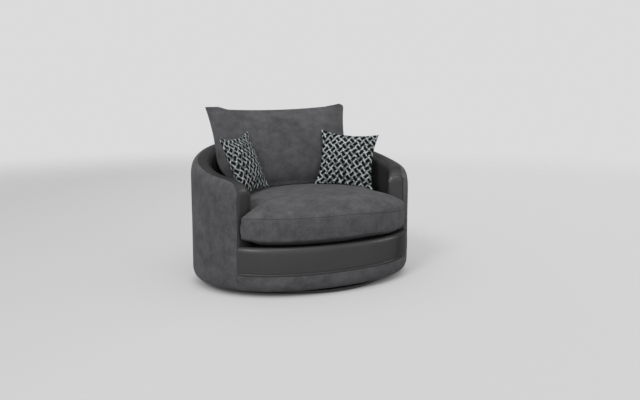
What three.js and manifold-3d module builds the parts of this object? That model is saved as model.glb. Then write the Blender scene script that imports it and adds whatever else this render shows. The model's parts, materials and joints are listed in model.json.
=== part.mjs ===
// A cuddle chair: a wide oval tub seat that turns on a ball turntable and a flat round base.
// Millimetres, +Z up. The origin is on the floor under the turning axis, and the chair faces -Y.
import * as THREE from "three";
import { mergeVertices } from "three/addons/utils/BufferGeometryUtils.js";
import Module from "manifold-3d";

const wasm = await Module();
wasm.setup();

// Plan of the tub: a superellipse, a little fuller than an ellipse.
const bodyWidth = 1200;
const bodyDepth = 912;
const planExponent = 2.24;

// The two places where the arms end, as an angle from straight ahead.
const armEndAngle = 64.2;
const armFaceTurn = 17; // the arm's front face is turned this far from square to the wall
const armFaceFade = 26; // degrees of arc over which that turn dies out

// Heights of the tub.
const bodyBottom = 27.8;
const plinthTop = 108;
const borderTop = 240;
const rimHeight = 607; // crest of the rim at the middle of the side
const rimSlope = 0.187; // rise of the rim towards the back
const rimSweep = 35; // how far the rim sweeps up from that slope at the very back
const rimDroop = 26; // how far the rim falls at the very front of each arm
const rimDroopLength = 95;

// Wall of the tub, as insets from its outer face.
const wallThickness = 100;
const shoulderWidth = 45; // the soft outer edge of the rim, an oval quarter
const shoulderDrop = 85;
const cornerRound = 22; // the inner edge of the rim
const seamInset = 30; // of the seam on the rim between fabric and leather
const leatherPadding = 22;
const coverSkin = 6;
const bottomInset = 28;
const bottomRise = 58;
const tuckWidth = 60;
const tuckThickness = 3;

// Clearances.
const seatGap = 0.3; // between pieces that rest on each other
const sideGap = 0.4; // between pieces that stand side by side
const curveGap = 1.6; // between a flat edge and the curved board it stands against
const cutOverrun = 2;

// Timber and wire inside the tub.
const boardThickness = 18;
const railInset = 12;
const railDepth = 50;
const railDrop = 66;
const ledgeHeight = 180;
const ledgeInset = 112;
const seatRingHoleInset = 130;
const handHoleRadius = 52;
const handHoleReach = 330;
const ribAngles = [69.5, 103, 137, 180, 223, 257, 290.5];
const frontPostAngles = [-36, 0, 36];
const frontBoardThickness = 7;
const borderPadding = 12;
const borderRound = 15;
const lipThickness = 8;
const lipWidth = 66;
const springCount = 5;
const springPitch = 130;
const springWire = 3.8;
const springLoopWidth = 46;
const springArch = 29;
const springBends = 13;
const deckThickness = 2;
const bottomClothThickness = 1.4;
const facingThickness = 12;
const facingRound = 5;

// Base and turntable.
const baseRadius = 433;
const baseThickness = 15;
const baseEdgeRound = 3;
const glideHeight = 4;
const glideRadius = 22;
const glideEdge = 48; // from the middle of a glide to the edge of the base
const glideCount = 6;
const raceInner = 105;
const raceOuter = 175;
const racePlate = 3;
const raceGroove = 1.2;
const grooveFloorHalf = 2;
const grooveMouthHalf = 3.5;
const ballRadius = 3.5;
const ballCount = 12;
const cageHalfWidth = 3.2;
const cageThickness = 1;
const screwCount = 4;
const screwEdge = 13; // from a screw's middle to the edge of its plate
const screwHeadRadius = 5;
const screwHeadHeight = 2.2;
const screwShankRadius = 2.5;
const lowerScrewDepth = 11;
const upperBoltDepth = 14;
const turntableHoleGap = 10;
const ballCircle = (raceInner + raceOuter) / 2;
const lowerScrewCircle = raceOuter - screwEdge;
const upperBoltCircle = raceInner + screwEdge;

// Seat cushion: a crowned round cushion whose front corners reach round the arms.
const cushionFrontInset = 1;
const cushionWallInset = 105;
const cushionArmGap = 5;
const cushionSeamLow = 273;
const cushionSeamHigh = 400;
const cushionCrown = 80;
const cushionSeamTuck = 6;
const cushionCrownExponent = 4.6;
const cushionCentre = -150;
const cushionCornerRound = 42;
const cushionRingShares = [0.965, 0.87, 0.7, 0.42];

// Back cushion: a loose filled cushion with pointed top corners, leaning on the back wall.
const backWidth = 860;
const backHeight = 454;
const backLean = 15;
const backFrontBulge = 88;
const backRearBulge = 105;
const backTopDip = 26;
const backWaist = 21;
const backCornerTuck = 180;

// Scatter cushions: square, knife-edged, corners drawn out to points.
const scatterSide = 316;
const scatterBulge = 54;
const scatterDip = 19;
const scatterLeft = { turn: 37.5, lean: 22, roll: -2.5 };
const scatterRight = { turn: -35, lean: 23, roll: 5.2 };
// Where they sit, as shares of half the tub's width and half its depth.
const scatterLeftShares = [-0.525, 0];
const scatterRightShares = [0.515, 0];

// A loose cushion settles by turns, from this far above and in front of its place.
const settleReach = 60;
const settleTurns = 5;
const settleShare = 0.85; // of the way that is left to the piece behind
const cushionGap = 0.7;

// Numbers of facets.
const wallStations = 46;
const frontStations = 20;
const outlinePoints = 72;
const turntableSides = 36;

// Heights that follow from the stack on the floor.
const discBottom = glideHeight + seatGap;
const discTop = discBottom + baseThickness;
const lowerRaceBottom = discTop + seatGap;
const lowerRaceTop = lowerRaceBottom + racePlate;
const ballCentre = lowerRaceTop - raceGroove + seatGap + ballRadius;
const upperRaceBottom = ballCentre + ballRadius + seatGap - raceGroove;
const upperRaceTop = upperRaceBottom + racePlate;
const frameBottom = upperRaceTop + seatGap;
const frameTop = frameBottom + boardThickness;
const postBottom = frameTop + seatGap;
const seatRingBottom = ledgeHeight + seatGap;
const seatRingTop = seatRingBottom + boardThickness;
const deckTop = borderTop - deckThickness;
const deckBottom = deckTop - deckThickness;

const radians = THREE.MathUtils.degToRad;

// The materials: colours, roughness and metalness of the photographed chair.
const finish = (color, roughness, metalness = 0) =>
  new THREE.MeshStandardMaterial({ color, roughness, metalness });
const materials = {
  fabric: finish(0x4d4d50, 0.95),
  leather: finish(0x343536, 0.42),
  pattern: finish(0x6d7675, 0.8),
  blackCloth: finish(0x17181a, 0.95),
  plywood: finish(0xb78f60, 0.75),
  blackBoard: finish(0x2b2b2d, 0.45),
  steel: finish(0x9a9ca0, 0.4, 1),
  glide: finish(0x1c1c1d, 0.6),
};

const chair = new THREE.Group();

// Adds a mesh under its node's name.
function place(name, geometry, material, parent = chair) {
  const mesh = new THREE.Mesh(geometry, material);
  mesh.name = name;
  parent.add(mesh);
  return mesh;
}

// A point of the tub's outer face at an angle from straight ahead, and its outward normal.
function outerPoint(angle) {
  const halfWidth = bodyWidth / 2;
  const halfDepth = bodyDepth / 2;
  const sine = Math.sin(radians(angle));
  const cosine = -Math.cos(radians(angle));
  const reach =
    (Math.abs(sine / halfWidth) ** planExponent + Math.abs(cosine / halfDepth) ** planExponent) **
    (-1 / planExponent);
  const x = reach * sine;
  const y = reach * cosine;
  const normal = new THREE.Vector2(
    (Math.sign(x) * Math.abs(x / halfWidth) ** (planExponent - 1)) / halfWidth,
    (Math.sign(y) * Math.abs(y / halfDepth) ** (planExponent - 1)) / halfDepth,
  ).normalize();
  return { point: new THREE.Vector2(x, y), normal };
}

// How much of the arm's face turn applies at an angle: all at the arm's end, none away from it.
function faceShare(angle) {
  const around = Math.min(Math.abs(angle), 360 - Math.abs(angle));
  const away = Math.min(Math.abs(around - armEndAngle) / armFaceFade, 1);
  return 1 - away * away * (3 - 2 * away);
}

// The direction from the outer face into the wall, turned towards the arm's face near its end.
function inwardDirection(angle) {
  const { point, normal } = outerPoint(angle);
  const turn = radians(armFaceTurn) * faceShare(angle) * Math.sign(point.x);
  return { direction: normal.negate().rotateAround(new THREE.Vector2(), turn), turn };
}

// The way across an arm's front face, inwards, and the way that the face looks.
function armFaceAxes(side) {
  const { direction } = inwardDirection(side * armEndAngle);
  return { direction, forward: new THREE.Vector2(-side * direction.y, side * direction.x) };
}

// A plan point at an inset from the outer face.
function planPoint(angle, inset) {
  const { point } = outerPoint(angle);
  const { direction, turn } = inwardDirection(angle);
  return point.clone().addScaledVector(direction, inset / Math.cos(turn));
}

// Height of the sloping plane that the timber rail lies along, below the rim.
const rimPlane = (y) => rimHeight + rimSlope * y;

// Height of the rim's crest at an angle round the tub.
function rimAt(angle) {
  const { point } = outerPoint(angle);
  const end = outerPoint(armEndAngle).point;
  const toEnd = new THREE.Vector2(Math.abs(point.x), point.y).distanceTo(end);
  const near = Math.max(0, 1 - toEnd / rimDroopLength);
  const sweep = rimSweep * (point.y / (bodyDepth / 2)) ** 2;
  return rimPlane(point.y) + sweep - rimDroop * near * near;
}

// Evenly spread angles from one to another, both included.
const spread = (from, to, steps) =>
  Array.from({ length: steps + 1 }, (_, i) => from + ((to - from) * i) / steps);

// Turns a list of corners and faces into a geometry whose faces point out.
function bodyFrom(points, faces) {
  const volume = faces.reduce((sum, [a, b, c]) => {
    const across = new THREE.Vector3().crossVectors(points[b], points[c]);
    return sum + points[a].dot(across);
  }, 0);
  const index = faces.flatMap(([a, b, c]) => (volume > 0 ? [a, b, c] : [a, c, b]));
  const geometry = new THREE.BufferGeometry().setFromPoints(points);
  geometry.setIndex(index);
  geometry.computeVertexNormals();
  return geometry;
}

// Skins closed sections one after another. Open lofts get a flat cap at each end.
function loft(sections, closed, capOutline) {
  const size = sections[0].length;
  const faces = [];
  const spans = closed ? sections.length : sections.length - 1;
  for (let i = 0; i < spans; i++) {
    const here = i * size;
    const next = ((i + 1) % sections.length) * size;
    for (let j = 0; j < size; j++) {
      const k = (j + 1) % size;
      faces.push([here + j, here + k, next + k], [here + j, next + k, next + j]);
    }
  }
  if (!closed) {
    const outline = capOutline;
    const turnsLeft = THREE.ShapeUtils.area(outline) > 0;
    const last = (sections.length - 1) * size;
    for (const [a, b, c] of THREE.ShapeUtils.triangulateShape(outline, [])) {
      const left = THREE.ShapeUtils.area([outline[a], outline[b], outline[c]]) > 0;
      const [p, q] = left === turnsLeft ? [b, c] : [c, b];
      faces.push([a, q, p], [last + a, last + p, last + q]);
    }
  }
  return bodyFrom(sections.flat(), faces);
}

// Sweeps a profile of insets and heights round part of the tub.
function sweepRound(angles, profileAt, closed = false) {
  const sections = angles.map((angle) =>
    profileAt(angle).map(([inset, height]) => {
      const spot = planPoint(angle, inset);
      return new THREE.Vector3(spot.x, spot.y, height);
    }),
  );
  const outline = profileAt(angles[0]).map(([inset, height]) => new THREE.Vector2(inset, height));
  return loft(sections, closed, outline);
}

// A flat board cut to an outline, with holes.
function board(outline, holes, bottom, thickness) {
  const shape = new THREE.Shape(outline);
  shape.holes = holes.map((hole) => new THREE.Path(hole));
  const geometry = new THREE.ExtrudeGeometry(shape, { depth: thickness, bevelEnabled: false });
  return geometry.translate(0, 0, bottom);
}

// The oval at an inset from the tub's outer face.
const oval = (inset) =>
  spread(0, 360, outlinePoints)
    .slice(0, outlinePoints)
    .map((angle) => {
      const { point, normal } = outerPoint(angle);
      return point.addScaledVector(normal, -inset);
    });

const circle = (radius, sides) =>
  new THREE.EllipseCurve(0, 0, radius, radius, 0, 2 * Math.PI).getPoints(sides).slice(0, sides);

// A body turned about the vertical axis from radii and heights.
function turned(profile, sides) {
  const points = profile.map(([radius, height]) => new THREE.Vector2(radius, height));
  return new THREE.LatheGeometry(points, sides).rotateX(Math.PI / 2);
}

// A plain round rod between two heights.
function rod(radius, bottom, top, sides = 12) {
  const geometry = new THREE.CylinderGeometry(radius, radius, top - bottom, sides);
  return geometry.rotateX(Math.PI / 2).translate(0, 0, (bottom + top) / 2);
}

// Hands a geometry to the solid modeller, and takes the result back.
function solid(geometry) {
  const bare = geometry.clone();
  bare.deleteAttribute("normal");
  bare.deleteAttribute("uv");
  const merged = mergeVertices(bare, 1e-3);
  return new wasm.Manifold(
    new wasm.Mesh({
      numProp: 3,
      vertProperties: new Float32Array(merged.attributes.position.array),
      triVerts: new Uint32Array(merged.index.array),
    }),
  );
}

function geometryOf(made) {
  const mesh = made.getMesh();
  const geometry = new THREE.BufferGeometry();
  geometry.setAttribute("position", new THREE.BufferAttribute(mesh.vertProperties, 3));
  geometry.setIndex(new THREE.BufferAttribute(mesh.triVerts, 1));
  geometry.computeVertexNormals();
  return geometry;
}

const drilled = (geometry, cutters) =>
  geometryOf(cutters.reduce((left, cutter) => left.subtract(solid(cutter)), solid(geometry)));

// Places of a bolt circle, starting halfway between the axes.
const boltPlaces = (count, radius) =>
  Array.from({ length: count }, (_, i) => {
    const angle = ((i + 0.5) * 2 * Math.PI) / count;
    return new THREE.Vector2(radius * Math.cos(angle), radius * Math.sin(angle));
  });

// The floor glides and the round base, drilled for the turntable's screws.
function addBase() {
  const screws = boltPlaces(screwCount, lowerScrewCircle);
  const holes = screws.map(({ x, y }) =>
    rod(
      screwShankRadius + seatGap,
      discTop - lowerScrewDepth - seatGap,
      discTop + cutOverrun,
    ).translate(x, y, 0),
  );
  const disc = turned(
    [
      [0, discBottom],
      [baseRadius - baseEdgeRound, discBottom],
      [baseRadius, discBottom + baseEdgeRound],
      [baseRadius, discTop - baseEdgeRound],
      [baseRadius - baseEdgeRound, discTop],
      [0, discTop],
    ],
    outlinePoints,
  );
  place("base_disc", drilled(disc, holes), materials.blackBoard);
  boltPlaces(glideCount, baseRadius - glideEdge).forEach(({ x, y }, i) => {
    const glide = place(`base_glide_${i + 1}`, rod(glideRadius, 0, glideHeight, 20), materials.glide);
    glide.position.set(x, y, 0);
  });
}

// A turntable plate: a flat steel ring with a groove for the balls in one face.
function racePlateRing(flat, grooved, holes) {
  const floor = grooved + Math.sign(flat - grooved) * raceGroove;
  const profile = [
    [raceInner, flat],
    [raceOuter, flat],
    [raceOuter, grooved],
    [ballCircle + grooveMouthHalf, grooved],
    [ballCircle + grooveFloorHalf, floor],
    [ballCircle - grooveFloorHalf, floor],
    [ballCircle - grooveMouthHalf, grooved],
    [raceInner, grooved],
    [raceInner, flat],
  ];
  if (flat > grooved) profile.reverse();
  return drilled(turned(profile, turntableSides), holes);
}

// A pan-head screw: its head on one side of the plate and its shank through it.
function screwBody(headFrom, headTo, shankTo) {
  const head = rod(screwHeadRadius, Math.min(headFrom, headTo), Math.max(headFrom, headTo), 16);
  const shank = rod(screwShankRadius, Math.min(headFrom, shankTo), Math.max(headFrom, shankTo));
  return geometryOf(solid(head).add(solid(shank)));
}

function addTurntable() {
  const lowerPlaces = boltPlaces(screwCount, lowerScrewCircle);
  const upperPlaces = boltPlaces(screwCount, upperBoltCircle);
  const through = (places, bottom, top) =>
    places.map(({ x, y }) =>
      rod(screwShankRadius + seatGap, bottom - cutOverrun, top + cutOverrun).translate(x, y, 0),
    );

  const lower = racePlateRing(
    lowerRaceBottom,
    lowerRaceTop,
    through(lowerPlaces, lowerRaceBottom, lowerRaceTop),
  );
  place("turntable_lower_ring", lower, materials.steel);
  const upper = racePlateRing(
    upperRaceTop,
    upperRaceBottom,
    through(upperPlaces, upperRaceBottom, upperRaceTop),
  );
  place("turntable_upper_ring", upper, materials.steel);

  const lowerSeat = lowerRaceTop + seatGap;
  const lowerScrew = screwBody(lowerSeat, lowerSeat + screwHeadHeight, discTop - lowerScrewDepth);
  lowerPlaces.forEach(({ x, y }, i) => {
    place(`turntable_screw_${i + 1}`, lowerScrew, materials.steel).position.set(x, y, 0);
  });
  const upperSeat = upperRaceBottom - seatGap;
  const upperBolt = screwBody(upperSeat, upperSeat - screwHeadHeight, frameBottom + upperBoltDepth);
  upperPlaces.forEach(({ x, y }, i) => {
    place(`frame_bolt_${i + 1}`, upperBolt, materials.steel).position.set(x, y, 0);
  });

  // The balls sit in a thin ring that keeps them apart and turns at half the seat's speed.
  const band = turned(
    [
      [ballCircle - cageHalfWidth, ballCentre - cageThickness / 2],
      [ballCircle + cageHalfWidth, ballCentre - cageThickness / 2],
      [ballCircle + cageHalfWidth, ballCentre + cageThickness / 2],
      [ballCircle - cageHalfWidth, ballCentre + cageThickness / 2],
      [ballCircle - cageHalfWidth, ballCentre - cageThickness / 2],
    ],
    turntableSides,
  );
  const cage = boltPlaces(ballCount, ballCircle).reduce((whole, { x, y }) => {
    const ball = new THREE.SphereGeometry(ballRadius, 6, 4).rotateX(Math.PI / 2);
    return whole.add(solid(ball.translate(x, y, ballCentre)));
  }, solid(band));
  place("ball_cage", geometryOf(cage), materials.steel);
}

// The curved-in bottom edge of the tub, as insets and heights, from the underside up.
function bottomCurve(inset, bottom) {
  return spread(0, 90, 4).map((angle) => [
    inset + bottomInset * (1 - Math.sin(radians(angle))),
    bottom + (bodyBottom + bottomRise - bottom) * (1 - Math.cos(radians(angle))),
  ]);
}

// A stretched fabric skin from the tuck under the frame up to an edge.
function skinProfile(edge) {
  return [
    [tuckWidth, bodyBottom],
    ...bottomCurve(0, bodyBottom),
    ...edge,
    ...bottomCurve(coverSkin, bodyBottom + tuckThickness).reverse(),
    [tuckWidth, bodyBottom + tuckThickness],
  ];
}

// The rim's outer shoulder at a depth below its surface, up to an angle of its oval quarter.
function shoulderCurve(crest, depth, upTo, steps) {
  return spread(0, upTo, steps).map((angle) => [
    depth + (shoulderWidth - depth) * (1 - Math.cos(radians(angle))),
    crest - depth - (shoulderDrop - depth) * (1 - Math.sin(radians(angle))),
  ]);
}

// The rim's inner edge at a depth below its surface, from its flat top down to the wall.
function cornerCurve(crest, depth, steps) {
  const round = Math.max(cornerRound - depth, 0);
  return spread(0, 90, steps).map((angle) => [
    wallThickness - depth - round * (1 - Math.sin(radians(angle))),
    crest - depth - round * (1 - Math.cos(radians(angle))),
  ]);
}

const wallAngles = spread(armEndAngle, 360 - armEndAngle, wallStations);
const frontEnd = armEndAngle - THREE.MathUtils.radToDeg(sideGap / (bodyDepth / 2));
const frontAngles = spread(-frontEnd, frontEnd, frontStations);

function addCovers() {
  // The fabric comes over the shoulder of the rim, up to its seam with the leather.
  const seamTurn = THREE.MathUtils.radToDeg(Math.acos(1 - seamInset / shoulderWidth));
  const outerProfile = (angle) =>
    skinProfile([
      ...shoulderCurve(rimAt(angle), 0, seamTurn, 4),
      ...shoulderCurve(rimAt(angle), coverSkin, seamTurn, 4).reverse(),
    ]);
  place("outer_cover", sweepRound(wallAngles, outerProfile), materials.fabric);

  const innerProfile = (angle) => {
    const crest = rimAt(angle);
    const [seamEdge] = shoulderCurve(crest, 0, seamTurn, 1).slice(-1);
    const hidden = wallThickness - leatherPadding;
    return [
      [seamEdge[0] + sideGap, seamEdge[1] + seatGap],
      [shoulderWidth, crest],
      ...cornerCurve(crest, 0, 4),
      [wallThickness, deckTop + seatGap],
      [hidden, deckTop + seatGap],
      [hidden, crest - leatherPadding],
      [seamInset + leatherPadding / 2, crest - leatherPadding],
    ];
  };
  place("inner_cover", sweepRound(wallAngles, innerProfile), materials.leather);

  const bandEdge = [
    [0, plinthTop],
    [coverSkin, plinthTop],
  ];
  place("plinth_band", sweepRound(frontAngles, () => skinProfile(bandEdge)), materials.fabric);

  const borderBottom = plinthTop + seatGap;
  const roundTop = spread(0, 90, 4).map((angle) => [
    borderRound * (1 - Math.cos(radians(angle))),
    borderTop - borderRound * (1 - Math.sin(radians(angle))),
  ]);
  const borderProfile = [
    [0, borderBottom],
    ...roundTop,
    [lipWidth, borderTop],
    [lipWidth, borderTop - lipThickness],
    [borderPadding + lipThickness, borderTop - lipThickness],
    [borderPadding, borderTop - 2 * lipThickness],
    [borderPadding, borderBottom],
  ];
  place("seat_border", sweepRound(frontAngles, () => borderProfile), materials.leather);
}

// The padded front face of an arm, standing forward of the covers' ends.
function addArmFacing(name, side) {
  const angle = side * armEndAngle;
  const { direction, forward } = armFaceAxes(side);
  const corner = outerPoint(angle).point;
  const crest = rimAt(angle);
  const bottom = borderTop + seatGap;
  const face = (inset, ahead) => {
    const outline = [
      [inset, bottom],
      ...shoulderCurve(crest, inset, 90, 6),
      ...cornerCurve(crest, inset, 4),
      [wallThickness - inset, bottom],
    ];
    const spots = outline.map(([d, z]) => {
      const spot = corner.clone().addScaledVector(direction, d).addScaledVector(forward, ahead);
      return new THREE.Vector3(spot.x, spot.y, z);
    });
    return { outline, spots };
  };
  const steps = [
    face(0, sideGap),
    face(0, facingThickness - facingRound),
    face(facingRound * 0.3, facingThickness - facingRound * 0.3),
    face(facingRound, facingThickness),
  ];
  const cap = steps[0].outline.map(([d, z]) => new THREE.Vector2(d, z));
  place(name, loft(steps.map((step) => step.spots), false, cap), materials.leather);
}

// A board on edge, cut to a profile of insets and heights, standing across the wall.
function addRib(name, angle, profile) {
  const { point } = outerPoint(angle);
  const { direction, turn } = inwardDirection(angle);
  const corners = profile.map(([inset, height]) => new THREE.Vector2(inset / Math.cos(turn), height));
  const geometry = new THREE.ExtrudeGeometry(new THREE.Shape(corners), {
    depth: boardThickness,
    bevelEnabled: false,
  });
  const inward = new THREE.Vector3(direction.x, direction.y, 0);
  const up = new THREE.Vector3(0, 0, 1);
  const along = new THREE.Vector3().crossVectors(inward, up);
  const rib = place(name, geometry.translate(0, 0, -boardThickness / 2), materials.plywood);
  rib.setRotationFromMatrix(new THREE.Matrix4().makeBasis(inward, up, along));
  rib.position.set(point.x, point.y, 0);
}

function addFrame() {
  const boltHoles = boltPlaces(screwCount, upperBoltCircle).map(({ x, y }) =>
    rod(
      screwShankRadius + seatGap,
      frameBottom - cutOverrun,
      frameBottom + upperBoltDepth + seatGap,
    ).translate(x, y, 0),
  );
  const handHoles = [-1, 1].map((side) =>
    circle(handHoleRadius, 24).map(({ x, y }) => new THREE.Vector2(x + side * handHoleReach, y)),
  );
  const frameInset = bottomInset + coverSkin + sideGap + curveGap;
  const plate = board(oval(frameInset), handHoles, frameBottom, boardThickness);
  place("base_frame", drilled(plate, boltHoles), materials.plywood);

  const ribBack = railInset + railDepth;
  const ledgeBack = ribBack + (boardThickness / 2) * Math.tan(radians(armFaceTurn)) + sideGap;
  const ribFoot = frameInset;
  ribAngles.forEach((angle, i) => {
    const halfRise = (boardThickness / 2) * rimSlope * Math.abs(inwardDirection(angle).direction.x);
    const top = (inset) =>
      rimPlane(planPoint(angle, inset).y) - railDrop - boardThickness - seatGap - halfRise;
    addRib(`frame_rib_${i + 1}`, angle, [
      [ribFoot, postBottom],
      [ledgeInset, postBottom],
      [ledgeInset, ledgeHeight],
      [ribBack, ledgeHeight],
      [ribBack, top(ribBack)],
      [railInset, top(railInset)],
      [railInset, postBottom + bottomRise],
    ]);
  });
  const postFront = borderPadding + frontBoardThickness + sideGap + curveGap;
  frontPostAngles.forEach((angle, i) => {
    addRib(`front_post_${i + 1}`, angle, [
      [ribFoot, postBottom],
      [ledgeInset, postBottom],
      [ledgeInset, ledgeHeight],
      [postFront, ledgeHeight],
      [postFront, postBottom + bottomRise],
    ]);
  });

  // The top rail is one flat board that slopes down from the back to the arms.
  const railAngles = spread(armEndAngle + 1, 359 - armEndAngle, wallStations / 2);
  const railOutline = [
    ...railAngles.map((angle) => planPoint(angle, railInset)),
    ...railAngles.reverse().map((angle) => planPoint(angle, ribBack)),
  ];
  const rail = board(railOutline, [], rimHeight - railDrop - boardThickness, boardThickness);
  rail.applyMatrix4(new THREE.Matrix4().makeShear(0, 0, 0, rimSlope, 0, 0));
  place("top_rail", rail, materials.plywood);

  // The seat ring rests on the ribs' ledges and the front posts.
  const ringFront = spread(-armEndAngle, armEndAngle, 22).map((a) => planPoint(a, postFront));
  const ringRear = spread(armEndAngle, 360 - armEndAngle, 44).map((a) => planPoint(a, ledgeBack));
  const ring = board(
    [...ringFront, ...ringRear],
    [oval(seatRingHoleInset)],
    seatRingBottom,
    boardThickness,
  );
  place("seat_ring", ring, materials.plywood);

  const boardAngles = spread(-frontEnd, frontEnd, frontStations);
  const boardFace = borderPadding + sideGap;
  const frontBoard = [
    [boardFace, postBottom + bottomRise],
    [boardFace + frontBoardThickness, postBottom + bottomRise],
    [boardFace + frontBoardThickness, borderTop - 2 * lipThickness - seatGap],
    [boardFace, borderTop - 2 * lipThickness - seatGap],
  ];
  place("front_board", sweepRound(boardAngles, () => frontBoard), materials.plywood);
}

// A serpentine seat spring: a wire that swings from side to side on its way to the back.
class SerpentineWire extends THREE.Curve {
  constructor(middle, front, rear) {
    super();
    this.middle = middle;
    this.front = front;
    this.rear = rear;
  }

  getPoint(share, target = new THREE.Vector3()) {
    const swing = Math.sin(share * springBends * Math.PI);
    const squared = Math.tanh(1.6 * swing) / Math.tanh(1.6);
    const arch = 4 * share * (1 - share);
    return target.set(
      this.middle + (springLoopWidth / 2) * squared,
      THREE.MathUtils.lerp(this.front, this.rear, share),
      seatRingTop + seatGap + springWire / 2 + springArch * arch,
    );
  }
}

function addSprings() {
  const wireSection = new THREE.Shape(circle(springWire / 2, 5));
  for (let i = 0; i < springCount; i++) {
    const middle = (i - (springCount - 1) / 2) * springPitch;
    const reach = ovalReach(seatRingHoleInset, Math.abs(middle)) + springLoopWidth / 2;
    const wire = new SerpentineWire(middle, -reach, reach);
    const geometry = new THREE.ExtrudeGeometry(wireSection, {
      steps: springBends * 4,
      extrudePath: wire,
      bevelEnabled: false,
    });
    place(`seat_spring_${i + 1}`, geometry, materials.steel);
  }
}

// How far the oval at an inset reaches forwards or backwards at a distance from the middle.
function ovalReach(inset, across) {
  const halfWidth = bodyWidth / 2 - inset;
  const halfDepth = bodyDepth / 2 - inset;
  return halfDepth * (1 - (across / halfWidth) ** planExponent) ** (1 / planExponent);
}

function addCloths() {
  const deckInset = lipWidth + sideGap + curveGap;
  place(
    "deck_cloth",
    board(oval(deckInset), [], deckBottom, deckThickness),
    materials.blackCloth,
  );
  const hole = circle(raceOuter + turntableHoleGap, turntableSides);
  const clothBottom = frameBottom - seatGap - bottomClothThickness;
  place(
    "bottom_cloth",
    board(oval(tuckWidth + sideGap + curveGap), [hole], clothBottom, bottomClothThickness),
    materials.blackCloth,
  );
}

// Rounds the marked corners of an outline with short curves.
function roundedOutline(corners) {
  return corners.flatMap(({ point, round }, i) => {
    if (!round) return [point];
    const before = corners[(i + corners.length - 1) % corners.length].point;
    const after = corners[(i + 1) % corners.length].point;
    const from = point.clone().lerp(before, Math.min(round / point.distanceTo(before), 0.9));
    const to = point.clone().lerp(after, Math.min(round / point.distanceTo(after), 0.9));
    return new THREE.QuadraticBezierCurve(from, point, to).getPoints(3);
  });
}

// The seat cushion's plan: the tub's front oval, the notches for the arms, and the inner wall.
function cushionOutline() {
  const ahead = facingThickness + cushionArmGap;
  const notch = (side, inset) => {
    const { direction, forward } = armFaceAxes(side);
    return outerPoint(side * armEndAngle)
      .point.addScaledVector(direction, inset)
      .addScaledVector(forward, ahead);
  };
  const earAngle = armEndAngle - 8;
  const corners = [
    ...spread(-earAngle, earAngle, 22).map((a) => ({ point: planPoint(a, cushionFrontInset) })),
    { point: notch(1, cushionFrontInset), round: cushionCornerRound / 2 },
    { point: notch(1, cushionWallInset + cushionArmGap) },
    ...spread(armEndAngle + 3, 357 - armEndAngle, 34).map((a) => ({
      point: planPoint(a, cushionWallInset),
    })),
    { point: notch(-1, cushionWallInset + cushionArmGap) },
    { point: notch(-1, cushionFrontInset), round: cushionCornerRound / 2 },
  ];
  return roundedOutline(corners);
}

// How far the oval inside the walls and the front edge lies from a centre along a direction.
function ovalSpoke(centre, direction) {
  const halfWidth = bodyWidth / 2 - cushionWallInset;
  const halfDepth = (bodyDepth - cushionWallInset) / 2;
  const along = direction.clone().normalize();
  const start = (centre.y + cushionWallInset / 2) / halfDepth;
  const a = (along.x / halfWidth) ** 2 + (along.y / halfDepth) ** 2;
  const b = (start * along.y) / halfDepth;
  return (Math.sqrt(b * b + a * (1 - start * start)) - b) / a;
}

function addSeatCushion() {
  const outline = cushionOutline();
  const centre = new THREE.Vector2(0, cushionCentre);
  // Inside the seams the rings lose the notches and close in on a plain oval.
  const ringOf = (share, height, tuck = cushionSeamTuck) =>
    outline.map((point) => {
      const spoke = point.clone().sub(centre);
      const edge = spoke.length() - tuck;
      const round = Math.min(ovalSpoke(centre, spoke), edge);
      spoke.setLength(THREE.MathUtils.lerp(round, edge, share ** 2) * share);
      return new THREE.Vector3(centre.x + spoke.x, centre.y + spoke.y, height);
    });
  const crown = (share) => 1 - share ** cushionCrownExponent;
  const underside = cushionSeamLow - deckTop - seatGap;
  const rings = [
    ...[...cushionRingShares].reverse().map((s) => ringOf(s, cushionSeamLow - underside * crown(s))),
    ringOf(1, cushionSeamLow),
    ringOf(1, (cushionSeamLow + cushionSeamHigh) / 2, 0),
    ringOf(1, cushionSeamHigh),
    ...cushionRingShares.map((s) => ringOf(s, cushionSeamHigh + cushionCrown * crown(s))),
  ];
  const size = outline.length;
  const points = rings.flat();
  const low = points.push(new THREE.Vector3(centre.x, centre.y, deckTop + seatGap)) - 1;
  const high = points.push(new THREE.Vector3(centre.x, centre.y, cushionSeamHigh + cushionCrown)) - 1;
  const last = (rings.length - 1) * size;
  const faces = [];
  for (let j = 0; j < size; j++) {
    const k = (j + 1) % size;
    faces.push([low, k, j], [high, last + j, last + k]);
    for (let i = 0; i < rings.length - 1; i++) {
      const here = i * size;
      const next = here + size;
      faces.push([here + j, here + k, next + k], [here + j, next + k, next + j]);
    }
  }
  place("seat_cushion", bodyFrom(points, faces), materials.fabric);
}

// A filled cushion between two grids: outline gives the edge, front and rear give the swell.
function pillow(columns, rows, outline, swell) {
  const points = [];
  const faces = [];
  const index = new Map();
  const corner = (i, j, side) => {
    const onEdge = i === 0 || j === 0 || i === columns || j === rows;
    const key = `${i},${j},${onEdge ? 0 : side}`;
    if (!index.has(key)) {
      const u = (2 * i) / columns - 1;
      const v = (2 * j) / rows - 1;
      const spot = outline(u, v);
      index.set(key, points.push(new THREE.Vector3(spot.x, onEdge ? 0 : swell(u, v, side), spot.y)) - 1);
    }
    return index.get(key);
  };
  for (let i = 0; i < columns; i++) {
    for (let j = 0; j < rows; j++) {
      for (const side of [-1, 1]) {
        const [a, b] = [corner(i, j, side), corner(i + 1, j, side)];
        const [c, d] = [corner(i + 1, j + 1, side), corner(i, j + 1, side)];
        // The quarters are cut towards their own corners, so that the corners stay sharp.
        const rising = i < columns / 2 === j < rows / 2;
        const [first, second] = rising ? [[a, b, c], [a, c, d]] : [[a, b, d], [b, c, d]];
        faces.push(...(side < 0 ? [first, second] : [first.reverse(), second.reverse()]));
      }
    }
  }
  return bodyFrom(points, faces);
}

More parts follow.
